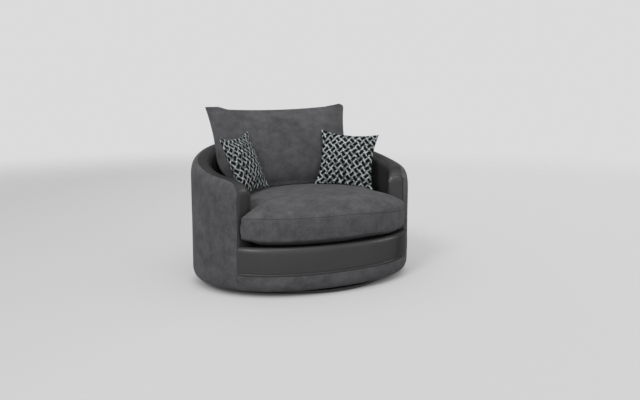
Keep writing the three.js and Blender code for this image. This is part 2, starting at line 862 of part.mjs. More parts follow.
const downwards = new THREE.Vector3(0, 0, -1);
const towardsBack = new THREE.Vector3(0, 1, 0);
const pieceNamed = (name) => chair.getObjectByName(name);

// The least distance from a mesh's corners to another mesh along a direction.
function leastDistance(from, onto, direction) {
  const { position } = from.geometry.attributes;
  const caster = new THREE.Raycaster();
  const spot = new THREE.Vector3();
  let least = Infinity;
  for (let i = 0; i < position.count; i++) {
    spot.fromBufferAttribute(position, i).applyMatrix4(from.matrixWorld);
    caster.set(spot, direction);
    const [hit] = caster.intersectObject(onto);
    if (hit) least = Math.min(least, hit.distance);
  }
  return least;
}

// Moves a loose cushion along a direction by a share of its way to a piece.
function approach(cushion, piece, direction, share = 1) {
  chair.updateMatrixWorld(true);
  const there = leastDistance(cushion, piece, direction);
  const back = leastDistance(piece, cushion, direction.clone().negate());
  cushion.position.addScaledVector(direction, (Math.min(there, back) - cushionGap) * share);
}

// Settles a loose cushion by turns, down onto one piece and back against another.
function settle(cushion, below, behind) {
  for (let i = 0; i < settleTurns; i++) {
    approach(cushion, pieceNamed(below), downwards);
    approach(cushion, pieceNamed(behind), towardsBack, settleShare);
    cushion.position.z += settleReach;
  }
  approach(cushion, pieceNamed(below), downwards);
}

// Swell of a filled cushion across one direction, full in the middle and thin at the edge.
const fullness = (share) => (1 - Math.abs(share) ** 2.1) ** 0.58;

function addBackCushion() {
  const outline = (u, v) => {
    const tuck = backCornerTuck * Math.max(0, -v) ** 3;
    const halfWidth = backWidth / 2 - backWaist * (1 - v * v) - tuck;
    const dip = v > 0 ? backTopDip * v * (1 - u * u) : 0;
    return new THREE.Vector2(u * halfWidth, (v * backHeight) / 2 - dip);
  };
  const swell = (u, v, side) =>
    side * (side < 0 ? backFrontBulge : backRearBulge) * fullness(u) * fullness(v);
  const cushion = place("back_cushion", pillow(18, 12, outline, swell), materials.fabric);
  cushion.rotation.x = -radians(backLean);
  const setback = wallThickness + backRearBulge + (backHeight / 2) * Math.sin(radians(backLean));
  cushion.position.set(
    0,
    bodyDepth / 2 - setback - settleReach,
    cushionSeamHigh + cushionCrown + backHeight,
  );
  settle(cushion, "seat_cushion", "inner_cover");
}

function addScatterCushion(name, pose, [acrossShare, deepShare]) {
  const outline = (u, v) => {
    const half = scatterSide / 2;
    return new THREE.Vector2(
      u * (half - scatterDip * (1 - v * v)),
      v * (half - scatterDip * (1 - u * u)),
    );
  };
  const swell = (u, v, side) => side * scatterBulge * fullness(u) * fullness(v);
  const cushion = place(name, pillow(12, 12, outline, swell), materials.pattern);
  cushion.rotation.set(-radians(pose.lean), radians(pose.roll), radians(pose.turn), "ZXY");
  cushion.position.set(
    (acrossShare * bodyWidth) / 2,
    (deepShare * bodyDepth) / 2 - settleReach,
    cushionSeamHigh + cushionCrown + scatterSide,
  );
  settle(cushion, "seat_cushion", "back_cushion");
}

addBase();
addTurntable();
addFrame();
addSprings();
addCloths();
addCovers();
addArmFacing("arm_facing_left", -1);
addArmFacing("arm_facing_right", 1);
addSeatCushion();
addBackCushion();
addScatterCushion("scatter_cushion_left", scatterLeft, scatterLeftShares);
addScatterCushion("scatter_cushion_right", scatterRight, scatterRightShares);

export default chair;
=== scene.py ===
"""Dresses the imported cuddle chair: its covers, cushions and finishes, and a plain studio round it.

Sizes are in millimetres, as a workshop drawing gives them. A piece is scaled to metres as the last
step of its making, so its object sits at the origin with its place in its mesh.
"""

from __future__ import annotations

import json
import logging
import math
from collections.abc import Callable, Sequence
from dataclasses import dataclass, field
from enum import Enum

import bmesh
import bpy
from mathutils import Matrix, Vector, noise
from mathutils.bvhtree import BVHTree
from mathutils.kdtree import KDTree

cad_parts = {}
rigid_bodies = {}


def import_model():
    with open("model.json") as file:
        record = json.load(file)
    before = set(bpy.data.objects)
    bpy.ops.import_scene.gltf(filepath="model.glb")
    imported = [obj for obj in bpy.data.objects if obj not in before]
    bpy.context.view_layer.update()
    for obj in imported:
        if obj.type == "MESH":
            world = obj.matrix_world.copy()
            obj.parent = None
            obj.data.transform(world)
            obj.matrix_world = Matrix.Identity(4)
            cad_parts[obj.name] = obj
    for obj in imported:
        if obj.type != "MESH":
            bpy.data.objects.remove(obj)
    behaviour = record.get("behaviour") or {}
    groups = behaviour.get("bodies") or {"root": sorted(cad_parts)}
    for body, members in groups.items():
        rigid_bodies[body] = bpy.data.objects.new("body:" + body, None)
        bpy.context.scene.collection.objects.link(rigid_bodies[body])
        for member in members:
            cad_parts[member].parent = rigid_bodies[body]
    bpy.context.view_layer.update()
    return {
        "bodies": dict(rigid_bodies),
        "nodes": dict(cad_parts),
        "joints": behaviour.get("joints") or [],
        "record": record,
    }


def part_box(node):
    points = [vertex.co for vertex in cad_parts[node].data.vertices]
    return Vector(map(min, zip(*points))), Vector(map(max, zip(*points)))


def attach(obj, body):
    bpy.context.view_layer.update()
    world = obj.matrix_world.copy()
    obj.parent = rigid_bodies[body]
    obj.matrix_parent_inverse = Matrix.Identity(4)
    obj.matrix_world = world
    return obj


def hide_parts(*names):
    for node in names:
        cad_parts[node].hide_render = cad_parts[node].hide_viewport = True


log = logging.getLogger("cuddle_chair")

MM = 0.001
CRISP = math.radians(50)  # an edge that turns by more than this is shaded as an edge
PHOTO_WIDTH = 640
CUSHION_GAP = 1.0  # what is left between a cushion and what it lies on


class Side(Enum):
    """The two arms, as the sign of their x."""

    LEFT = -1
    RIGHT = 1


# ---------------------------------------------------------------------------------------------
# Finishes
# ---------------------------------------------------------------------------------------------


def linear(hex_colour: str) -> tuple[float, float, float, float]:
    """Turns an sRGB colour into the linear one that shaders work with.

    Args:
        hex_colour: The colour as "#rrggbb".

    Returns:
        Red, green, blue and an alpha of one.
    """
    shares = [int(hex_colour[i : i + 2], 16) / 255 for i in (1, 3, 5)]
    turned = [s / 12.92 if s <= 0.04045 else ((s + 0.055) / 1.055) ** 2.4 for s in shares]
    return (turned[0], turned[1], turned[2], 1.0)


def add_node(
    tree: bpy.types.NodeTree, kind: str, inputs: dict | None = None, **settings: object
) -> bpy.types.Node:
    """Adds a shader node with its settings, and fills or links its inputs.

    Args:
        tree: The material's or the world's node tree.
        kind: The node's type, such as "ShaderNodeMath".
        inputs: Values by input name or number. A socket is linked, anything else is set.
        settings: The node's own properties.

    Returns:
        The new node.
    """
    node = tree.nodes.new(kind)
    for name, value in settings.items():
        setattr(node, name, value)
    for key, value in (inputs or {}).items():
        if isinstance(value, bpy.types.NodeSocket):
            tree.links.new(value, node.inputs[key])
        else:
            node.inputs[key].default_value = value
    return node


def looked_at(tree: bpy.types.NodeTree) -> bpy.types.NodeSocket:
    """Tells rays that show the floor or the backdrop from rays that only carry their light.

    Args:
        tree: The material's or the world's node tree.

    Returns:
        The socket with one for a ray from the camera, a gloss or a glass, else nought.
    """
    path = add_node(tree, "ShaderNodeLightPath")
    seen = path.outputs["Is Camera Ray"]
    for kind in ("Is Glossy Ray", "Is Transmission Ray"):
        seen = add_node(
            tree, "ShaderNodeMath", {0: seen, 1: path.outputs[kind]}, operation="MAXIMUM"
        ).outputs[0]
    return seen


def add_object(name: str, data: bpy.types.ID) -> bpy.types.Object:
    """Makes an object of a mesh, a lamp or a camera and puts it in the scene.

    Args:
        name: The object's name.
        data: What it shows.

    Returns:
        The object.
    """
    made = bpy.data.objects.new(name, data)
    bpy.context.scene.collection.objects.link(made)
    return made


@dataclass(frozen=True)
class Finish:
    """What all finishes share: a name, a shader and the sockets that are the same all over."""

    name: str = "finish"

    def material(self) -> bpy.types.Material:
        """Returns the finish's material, made on first use."""
        found = bpy.data.materials.get(self.name)
        if found:
            return found
        made = bpy.data.materials.new(self.name)
        made.use_nodes = True
        tree = made.node_tree
        tree.nodes.clear()
        shader = add_node(tree, "ShaderNodeBsdfPrincipled")
        add_node(tree, "ShaderNodeOutputMaterial", {"Surface": shader.outputs[0]})
        self.paint(tree, shader)
        return made

    def paint(self, tree: bpy.types.NodeTree, shader: bpy.types.Node) -> None:
        """Adds the pattern nodes and sets the shader; each finish has its own."""

    def place(
        self, tree: bpy.types.NodeTree, stretch: tuple[float, float, float] = (1, 1, 1)
    ) -> bpy.types.NodeSocket:
        """Gives the piece's own coordinates in metres, stretched as a direction of grain asks.

        Args:
            tree: The material's node tree.
            stretch: How much faster the pattern runs along each axis.

        Returns:
            The socket with the coordinates.
        """
        place = add_node(tree, "ShaderNodeTexCoord")
        turned = add_node(
            tree, "ShaderNodeMapping", {"Vector": place.outputs["Object"], "Scale": stretch}
        )
        return turned.outputs[0]

    def clouds(
        self, tree: bpy.types.NodeTree, where: bpy.types.NodeSocket, size: float, detail: float
    ) -> bpy.types.NodeSocket:
        """Adds soft noise whose patches are about a real size across.

        Args:
            tree: The material's node tree.
            where: The coordinates in metres.
            size: Width of a patch in millimetres.
            detail: Octaves of finer noise in it.

        Returns:
            The socket with the noise, round about a half.
        """
        made = add_node(
            tree,
            "ShaderNodeTexNoise",
            {"Vector": where, "Scale": 1 / (size * MM), "Detail": detail, "Roughness": 0.55},
        )
        return made.outputs["Fac"]

    def relief(
        self, tree: bpy.types.NodeTree, shader: bpy.types.Node, layers: Sequence[tuple]
    ) -> None:
        """Stacks bump layers on the shader.

        Args:
            tree: The material's node tree.
            shader: The shader whose normal is bumped.
            layers: Height socket, strength and depth in millimetres of each layer.
        """
        normal = None
        for height, strength, depth in layers:
            inputs = {"Height": height, "Strength": strength, "Distance": depth * MM}
            if normal:
                inputs["Normal"] = normal
            normal = add_node(tree, "ShaderNodeBump", inputs).outputs[0]
        tree.links.new(normal, shader.inputs["Normal"])


@dataclass(frozen=True)
class BrushedMicrofibre(Finish):
    """Dark grey suede-like polyester, brushed: the nap lies this way and that in soft clouds."""

    name: str = "brushed_microfibre"
    nap_down: str = "#414143"
    nap_up: str = "#626264"
    shade: str = "#1a1a1b"  # the shadow in a sewn edge
    cloud: float = 46.0
    drift: float = 130.0
    clump: float = 11.0
    fibre: float = 3.0  # real fibres are far finer; this is the finest tuft that still shows
    seam: float = 0.0  # height of a sewn edge, along which its shadow is painted as a thin dark line; 0 where none is
    seam_drop: float = 34.0  # how far that edge hangs lower at the right, where the top is fuller
    drop_from: float = 20.0  # where along x the edge starts to hang, in the stretched pattern
    drop_to: float = 440.0
    line_core: float = 0.8  # half the width of the line's dark middle
    line_edge: float = 2.8  # and of all that is shaded
    line_dark: float = 0.5

    def paint(self, tree: bpy.types.NodeTree, shader: bpy.types.Node) -> None:
        """Mixes the two lies of the nap by clouds, with a fine tooth and a little sheen, and paints
        a seam's shadow as a thin dark line where one is set.
        """
        where = self.place(tree, (0.8, 1.0, 1.0))
        tooth = self.clouds(tree, where, self.fibre, 2.0)
        mixed: object = self.clouds(tree, where, self.cloud, 3.0)
        for layer, weight in (
            (self.clouds(tree, where, self.drift, 1.0), 0.45),
            (self.clouds(tree, where, self.clump, 2.0), 0.50),
            (tooth, 0.25),
        ):
            mixed = add_node(
                tree, "ShaderNodeMath", {0: layer, 1: weight, 2: mixed}, operation="MULTIPLY_ADD"
            ).outputs[0]
        share = add_node(
            tree, "ShaderNodeMapRange", {"Value": mixed, "From Min": 0.72, "From Max": 1.48}
        )
        nap = add_node(
            tree,
            "ShaderNodeMix",
            {0: share.outputs[0], 6: linear(self.nap_down), 7: linear(self.nap_up)},
            data_type="RGBA",
        )
        rough = add_node(
            tree,
            "ShaderNodeMapRange",
            {"Value": share.outputs[0], "To Min": 0.96, "To Max": 0.84},
        )
        # Painted shadow: a thin dark line along the seam's height, darkest in its middle, for the
        # shade in the seam.
        if self.seam:
            place = add_node(tree, "ShaderNodeSeparateXYZ", {0: where})
            height = add_node(
                tree,
                "ShaderNodeMapRange",
                {
                    "Value": place.outputs[0],
                    "From Min": self.drop_from * MM,
                    "From Max": self.drop_to * MM,
                    "To Min": self.seam * MM,
                    "To Max": (self.seam - self.seam_drop) * MM,
                },
                interpolation_type="SMOOTHSTEP",
            )
            off = add_node(
                tree,
                "ShaderNodeMath",
                {0: place.outputs[2], 1: height.outputs[0]},
                operation="SUBTRACT",
            )
            away = add_node(tree, "ShaderNodeMath", {0: off.outputs[0]}, operation="ABSOLUTE")
            sewn = add_node(
                tree,
                "ShaderNodeMapRange",
                {
                    "Value": away.outputs[0],
                    "From Min": self.line_core * MM,
                    "From Max": self.line_edge * MM,
                    "To Min": self.line_dark,
                    "To Max": 0.0,
                },
                interpolation_type="SMOOTHSTEP",
            )
            nap = add_node(
                tree,
                "ShaderNodeMix",
                {0: sewn.outputs[0], 6: nap.outputs[2], 7: linear(self.shade)},
                data_type="RGBA",
            )
        tree.links.new(nap.outputs[2], shader.inputs["Base Color"])
        tree.links.new(rough.outputs[0], shader.inputs["Roughness"])
        shader.inputs["IOR"].default_value = 1.46
        shader.inputs["Specular IOR Level"].default_value = 0.25
        shader.inputs["Sheen Weight"].default_value = 0.10
        shader.inputs["Sheen Roughness"].default_value = 0.45
        shader.inputs["Sheen Tint"].default_value = linear("#b4b4b8")
        slack = self.clouds(tree, where, 34.0, 2.0)
        self.relief(tree, shader, [(slack, 0.16, 3.0), (tooth, 0.30, 0.5)])


@dataclass(frozen=True)
class SmoothFauxLeather(Finish):
    """Dark grey coated leathercloth with a satin face: broad soft highlights, barely any grain."""

    name: str = "smooth_faux_leather"
    colour: str = "#343434"
    worn: str = "#3a3a3a"
    gloss: float = 0.46
    glancing_gloss: float = 0.02  # the pebbles shade one another where the face is seen edgeways
    glance_from: float = 0.22  # how far the face is turned away where that starts, as a share
    glance_to: float = 0.55
    grain: float = 2.4  # a real pebble is about 0.8 mm; this is the finest that still shows

    def paint(self, tree: bpy.types.NodeTree, shader: bpy.types.Node) -> None:
        """Pebbles the coat faintly and varies its colour and polish a little."""
        where = self.place(tree)
        drift = self.clouds(tree, where, 90.0, 2.0)
        skin = add_node(
            tree,
            "ShaderNodeMix",
            {0: drift, 6: linear(self.colour), 7: linear(self.worn)},
            data_type="RGBA",
        )
        pebble = add_node(
            tree,
            "ShaderNodeTexVoronoi",
            {"Vector": where, "Scale": 1 / (self.grain * MM)},
            feature="SMOOTH_F1",
        )
        polish = add_node(
            tree,
            "ShaderNodeMapRange",
            {"Value": drift, "From Min": 0.3, "From Max": 0.7, "To Min": 0.33, "To Max": 0.39},
        )
        tree.links.new(skin.outputs[2], shader.inputs["Base Color"])
        tree.links.new(polish.outputs[0], shader.inputs["Roughness"])
        glance = add_node(tree, "ShaderNodeLayerWeight", {"Blend": 0.5})
        gloss = add_node(
            tree,
            "ShaderNodeMapRange",
            {
                "Value": glance.outputs["Facing"],
                "From Min": self.glance_from,
                "From Max": self.glance_to,
                "To Min": self.gloss,
                "To Max": self.glancing_gloss,
            },
        )
        tree.links.new(gloss.outputs[0], shader.inputs["Specular IOR Level"])
        shader.inputs["IOR"].default_value = 1.45
        pull = self.clouds(tree, where, 46.0, 1.0)
        self.relief(tree, shader, [(pull, 0.12, 2.0), (pebble.outputs["Distance"], 0.10, 0.4)])


@dataclass(frozen=True)
class BasketWeave(Finish):
    """Flat-woven cushion cloth: black ribbons cross silver-grey ones in a common basket weave."""

    name: str = "basket_weave"
    black: str = "#020304"
    silver: str = "#474f4f"
    # painted highlight: the colour that the silver ribbons are lightened to, for the glint of their
    # yarn
    glint_colour: str = "#bfc6c5"
    repeat_across: float = 40.0
    repeat_up: float = 44.0
    dash_length: float = 0.54
    dash_width: float = 0.242
    end_shape: float = 2.6  # how square a dash ends; two gives an ellipse
    side_shape: float = 2.2
    strain: float = 0.18  # how far the weave is pulled askew, in repeats
    strained: float = 11.0

    def paint(self, tree: bpy.types.NodeTree, shader: bpy.types.Node) -> None:
        """Lays dashes on both diagonals by turns, over the flat of the cloth in its UV map."""
        flat = add_node(tree, "ShaderNodeUVMap", uv_map="flat_of_cloth")
        where = self.place(tree)
        strain = add_node(
            tree, "ShaderNodeTexNoise", {"Vector": where, "Scale": 1 / (self.strained * MM)}
        )
        parts, pull = (
            add_node(tree, "ShaderNodeSeparateXYZ", {0: node.outputs[out]})
            for node, out in ((flat, 0), (strain, "Color"))
        )
        sums: dict[str, bpy.types.NodeSocket] = {
            "flat_across": parts.outputs[0],
            "flat_up": parts.outputs[1],
            "pull_across": pull.outputs[0],
            "pull_up": pull.outputs[1],
        }
        # Each step names its result, what is done, and the results or numbers it is done to.
        for name, operation, *values in (
            ("drawn_across", "SUBTRACT", "pull_across", 0.5),
            ("repeats_across", "DIVIDE", "flat_across", self.repeat_across * MM),
            ("across", "MULTIPLY_ADD", "drawn_across", self.strain, "repeats_across"),
            ("drawn_up", "SUBTRACT", "pull_up", 0.5),
            ("repeats_up", "DIVIDE", "flat_up", self.repeat_up * MM),
            ("up", "MULTIPLY_ADD", "drawn_up", self.strain, "repeats_up"),
            ("rising", "ADD", "across", "up"),
            ("falling", "SUBTRACT", "across", "up"),
            ("near_rising", "ROUND", "rising"),
            ("near_falling", "ROUND", "falling"),
            ("off_rising", "SUBTRACT", "rising", "near_rising"),
            ("off_falling", "SUBTRACT", "falling", "near_falling"),
            ("crossing", "ADD", "near_rising", "near_falling"),
            ("other", "FLOORED_MODULO", "crossing", 2.0),
            ("apart", "SUBTRACT", "off_falling", "off_rising"),
            ("turned", "MULTIPLY", "other", "apart"),
            ("ahead", "ADD", "off_rising", "turned"),
            ("along", "ABSOLUTE", "ahead"),
            ("beside", "SUBTRACT", "off_falling", "turned"),
            ("sideways", "ABSOLUTE", "beside"),
            ("lengths", "DIVIDE", "along", self.dash_length),
            ("reach", "POWER", "lengths", self.end_shape),
            ("widths", "DIVIDE", "sideways", self.dash_width),
            ("spread", "POWER", "widths", self.side_shape),
            ("inside", "ADD", "reach", "spread"),
        ):
            inputs = {i: sums.get(value, value) for i, value in enumerate(values)}
            sums[name] = add_node(tree, "ShaderNodeMath", inputs, operation=operation).outputs[0]
        # Painted glints: the silver is lightened in patches towards the middle of each ribbon, away
        # from the dashes.
        dash, ribbon, glint_patches = (
            add_node(
                tree,
                "ShaderNodeMapRange",
                {"Value": value, "From Min": low, "From Max": high},
                interpolation_type="SMOOTHSTEP",
            ).outputs[0]
            for value, low, high in (
                (sums["inside"], 1.3, 0.7),
                (sums["sideways"], 0.22, 0.42),
                (self.clouds(tree, where, 13.0, 1.0), 0.36, 0.62),
            )
        )
        yarn = self.clouds(tree, where, 2.2, 2.0)
        glint_share = add_node(tree, "ShaderNodeMath", {0: ribbon, 1: glint_patches}, operation="MULTIPLY")
        ground_with_glints = add_node(
            tree,
            "ShaderNodeMix",
            {0: glint_share.outputs[0], 6: linear(self.silver), 7: linear(self.glint_colour)},
            data_type="RGBA",
        )
        cloth = add_node(
            tree,
            "ShaderNodeMix",
            {0: dash, 6: ground_with_glints.outputs[2], 7: linear(self.black)},
            data_type="RGBA",
        )
        tree.links.new(cloth.outputs[2], shader.inputs["Base Color"])
        shader.inputs["Roughness"].default_value = 0.78
        shader.inputs["IOR"].default_value = 1.48
        shader.inputs["Specular IOR Level"].default_value = 0.12
        self.relief(tree, shader, [(dash, 0.5, 0.8), (yarn, 0.35, 0.4)])


@dataclass(frozen=True)
class MottledFinish(Finish):
    """What the plain finishes share: two close colours and a polish that change in patches."""

    colour: str = "#000000"
    other: str = "#000000"
    stretch: tuple[float, float, float] = (1.0, 1.0, 1.0)
    patch: float = 4.0  # width of a patch
    detail: float = 3.0
    turns: tuple[float, float] = (0.0, 1.0)  # noise at which the colour starts and ends to change
    polish: tuple[float, float] = (0.5, 0.5)  # roughness of the one and of the other
    index: float = 1.5
    tooth: float = 0.0  # width of the raised grain, 0 where there is none
    tooth_detail: float = 1.0
    tooth_strength: float = 0.2
    tooth_depth: float = 0.3

    def paint(self, tree: bpy.types.NodeTree, shader: bpy.types.Node) -> None:
        """Changes colour and polish in the same patches, and raises the grain."""
        where = self.place(tree, self.stretch)
        patches = self.clouds(tree, where, self.patch, self.detail)
        low, high = self.turns
        share = add_node(
            tree, "ShaderNodeMapRange", {"Value": patches, "From Min": low, "From Max": high}
        ).outputs[0]
        tone = add_node(
            tree,
            "ShaderNodeMix",
            {0: share, 6: linear(self.colour), 7: linear(self.other)},
            data_type="RGBA",
        )
        tree.links.new(tone.outputs[2], shader.inputs["Base Color"])
        one, two = self.polish
        shader.inputs["Roughness"].default_value = one
        if one != two:  # an export bakes a map for each link, so an even polish stays a number
            rough = add_node(
                tree, "ShaderNodeMapRange", {"Value": share, "To Min": one, "To Max": two}
            )
            tree.links.new(rough.outputs[0], shader.inputs["Roughness"])
        shader.inputs["IOR"].default_value = self.index
        if self.tooth:
            grain = self.clouds(tree, where, self.tooth, self.tooth_detail)
            self.relief(tree, shader, [(grain, self.tooth_strength, self.tooth_depth)])


@dataclass(frozen=True)
class BlackLiningCloth(MottledFinish):
    """Black non-woven polypropylene under and inside upholstery: matt, with a felted grain."""

    name: str = "black_lining_cloth"
    colour: str = "#17181a"
    other: str = "#232427"  # where the fibres lie denser
    polish: tuple[float, float] = (0.93, 0.93)
    tooth: float = 4.0
    tooth_detail: float = 3.0
    tooth_strength: float = 0.3
    tooth_depth: float = 0.4


@dataclass(frozen=True)
class RawPlywood(MottledFinish):
    """Unfinished birch plywood: pale face grain along the board, slight brown streaks."""

    name: str = "raw_plywood"
    colour: str = "#c9a878"
    other: str = "#a57f51"  # the late wood
    stretch: tuple[float, float, float] = (0.12, 1.0, 1.0)
    patch: float = 9.0
    detail: float = 4.0
    turns: tuple[float, float] = (0.38, 0.68)
    polish: tuple[float, float] = (0.74, 0.74)
    tooth: float = 1.6


@dataclass(frozen=True)
class LacqueredBoard(MottledFinish):
    """Fibreboard sprayed satin black: even, with the faint orange peel of a sprayed coat."""

    name: str = "lacquered_board"
    colour: str = "#1d1d1f"
    other: str = "#29292b"  # where hands and feet have scuffed it
    patch: float = 60.0
    detail: float = 4.0
    polish: tuple[float, float] = (0.34, 0.52)
    tooth: float = 3.0
    tooth_strength: float = 0.08
    tooth_depth: float = 0.2


@dataclass(frozen=True)
class MouldedGlide(MottledFinish):
    """Black moulded polyethylene of the floor glides: waxy, a little scratched by the floor."""

    name: str = "moulded_glide"
    colour: str = "#1b1b1c"
    other: str = "#2c2c2d"  # the scratches
    stretch: tuple[float, float, float] = (0.15, 1.0, 1.0)
    patch: float = 1.5
    index: float = 1.51


@dataclass(frozen=True)
class ZincPlatedSteel(Finish):
    """Bright zinc on pressed steel and wire: metallic, with the spangle of the plating bath."""

    name: str = "zinc_plated_steel"
    colour: str = "#a9abaf"
    shade: str = "#8b8d92"
    spangle: float = 7.0
    polish: tuple[float, float] = (0.32, 0.46)

    def paint(self, tree: bpy.types.NodeTree, shader: bpy.types.Node) -> None:
        """Spangles colour and roughness together."""
        where = self.place(tree)
        spangle = add_node(
            tree, "ShaderNodeTexVoronoi", {"Vector": where, "Scale": 1 / (self.spangle * MM)}
        )
        flake = add_node(tree, "ShaderNodeSeparateColor", {0: spangle.outputs["Color"]})
        tone = add_node(
            tree,
            "ShaderNodeMix",
            {0: flake.outputs[0], 6: linear(self.colour), 7: linear(self.shade)},
            data_type="RGBA",
        )
        low, high = self.polish
        polish = add_node(
            tree, "ShaderNodeMapRange", {"Value": flake.outputs[1], "To Min": low, "To Max": high}
        )
        tree.links.new(tone.outputs[2], shader.inputs["Base Color"])
        tree.links.new(polish.outputs[0], shader.inputs["Roughness"])
        shader.inputs["Metallic"].default_value = 1.0


# ---------------------------------------------------------------------------------------------
# Making pieces
# ---------------------------------------------------------------------------------------------


def lattice(columns: int, rows: int, place: Callable[[int, int], Vector]) -> bmesh.types.BMesh:
    """Drapes a flat grid over a surface.

    Args:
        columns: Number of faces one way.
        rows: Number of faces the other way.
        place: Gives the place of the grid's point in a column and a row.

    Returns:
        The draped grid.
    """
    bm = bmesh.new()
    bmesh.ops.create_grid(bm, x_segments=columns, y_segments=rows, size=1.0)
    for vertex in bm.verts:
        column = round((vertex.co.x + 1) / 2 * columns)
        row = round((vertex.co.y + 1) / 2 * rows)
        vertex.co = place(column, row)
    return bm


def face_away_from(bm: bmesh.types.BMesh, middle: Vector) -> None:
    """Turns an open skin so that its faces look away from a point.

    Args:
        bm: The skin.
        middle: A point on the side that the faces look away from.
    """
    bm.normal_update()
    outward = sum((f.calc_center_median() - middle).dot(f.normal) * f.calc_area() for f in bm.faces)
    if outward < 0:
        bmesh.ops.reverse_faces(bm, faces=bm.faces[:])


def finish_piece(
    bm: bmesh.types.BMesh, name: str, finish: Finish, slot: str, body: str, stands_for: str
) -> bpy.types.Object:
    """Scales a modelled piece to metres and hangs it on the frame.

    Args:
        bm: The piece in millimetres. It is used up.
        name: The piece's name.
        finish: What it is covered with.
        slot: The record's material slot; not used.
        body: The body that it moves with.
        stands_for: The CAD node that it replaces.

    Returns:
        The piece.
    """
    bmesh.ops.scale(bm, vec=(MM, MM, MM), verts=bm.verts)
    for edge in bm.edges:
        if len(edge.link_faces) == 2 and edge.calc_face_angle() > CRISP:
            edge.smooth = False
    mesh = bpy.data.meshes.new(name)
    bm.to_mesh(mesh)
    bm.free()
    mesh.polygons.foreach_set("use_smooth", [True] * len(mesh.polygons))
    mesh.materials.append(finish.material())
    piece = add_object(name, mesh)
    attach(piece, body)
    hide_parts(stands_for)
    log.info("%s: %d faces", name, len(mesh.polygons))
    return piece


def ease(share: float) -> float:
    """Eases a share between nought and one in and out."""
    share = min(max(share, 0.0), 1.0)
    return share * share * (3 - 2 * share)


def ripple(spot: Vector, size: float, height: float) -> float:
    """Gives soft noise at a spot, in millimetres, with waves of a size."""
    return noise.noise(spot / size) * height


# ---------------------------------------------------------------------------------------------
# The tub
# ---------------------------------------------------------------------------------------------


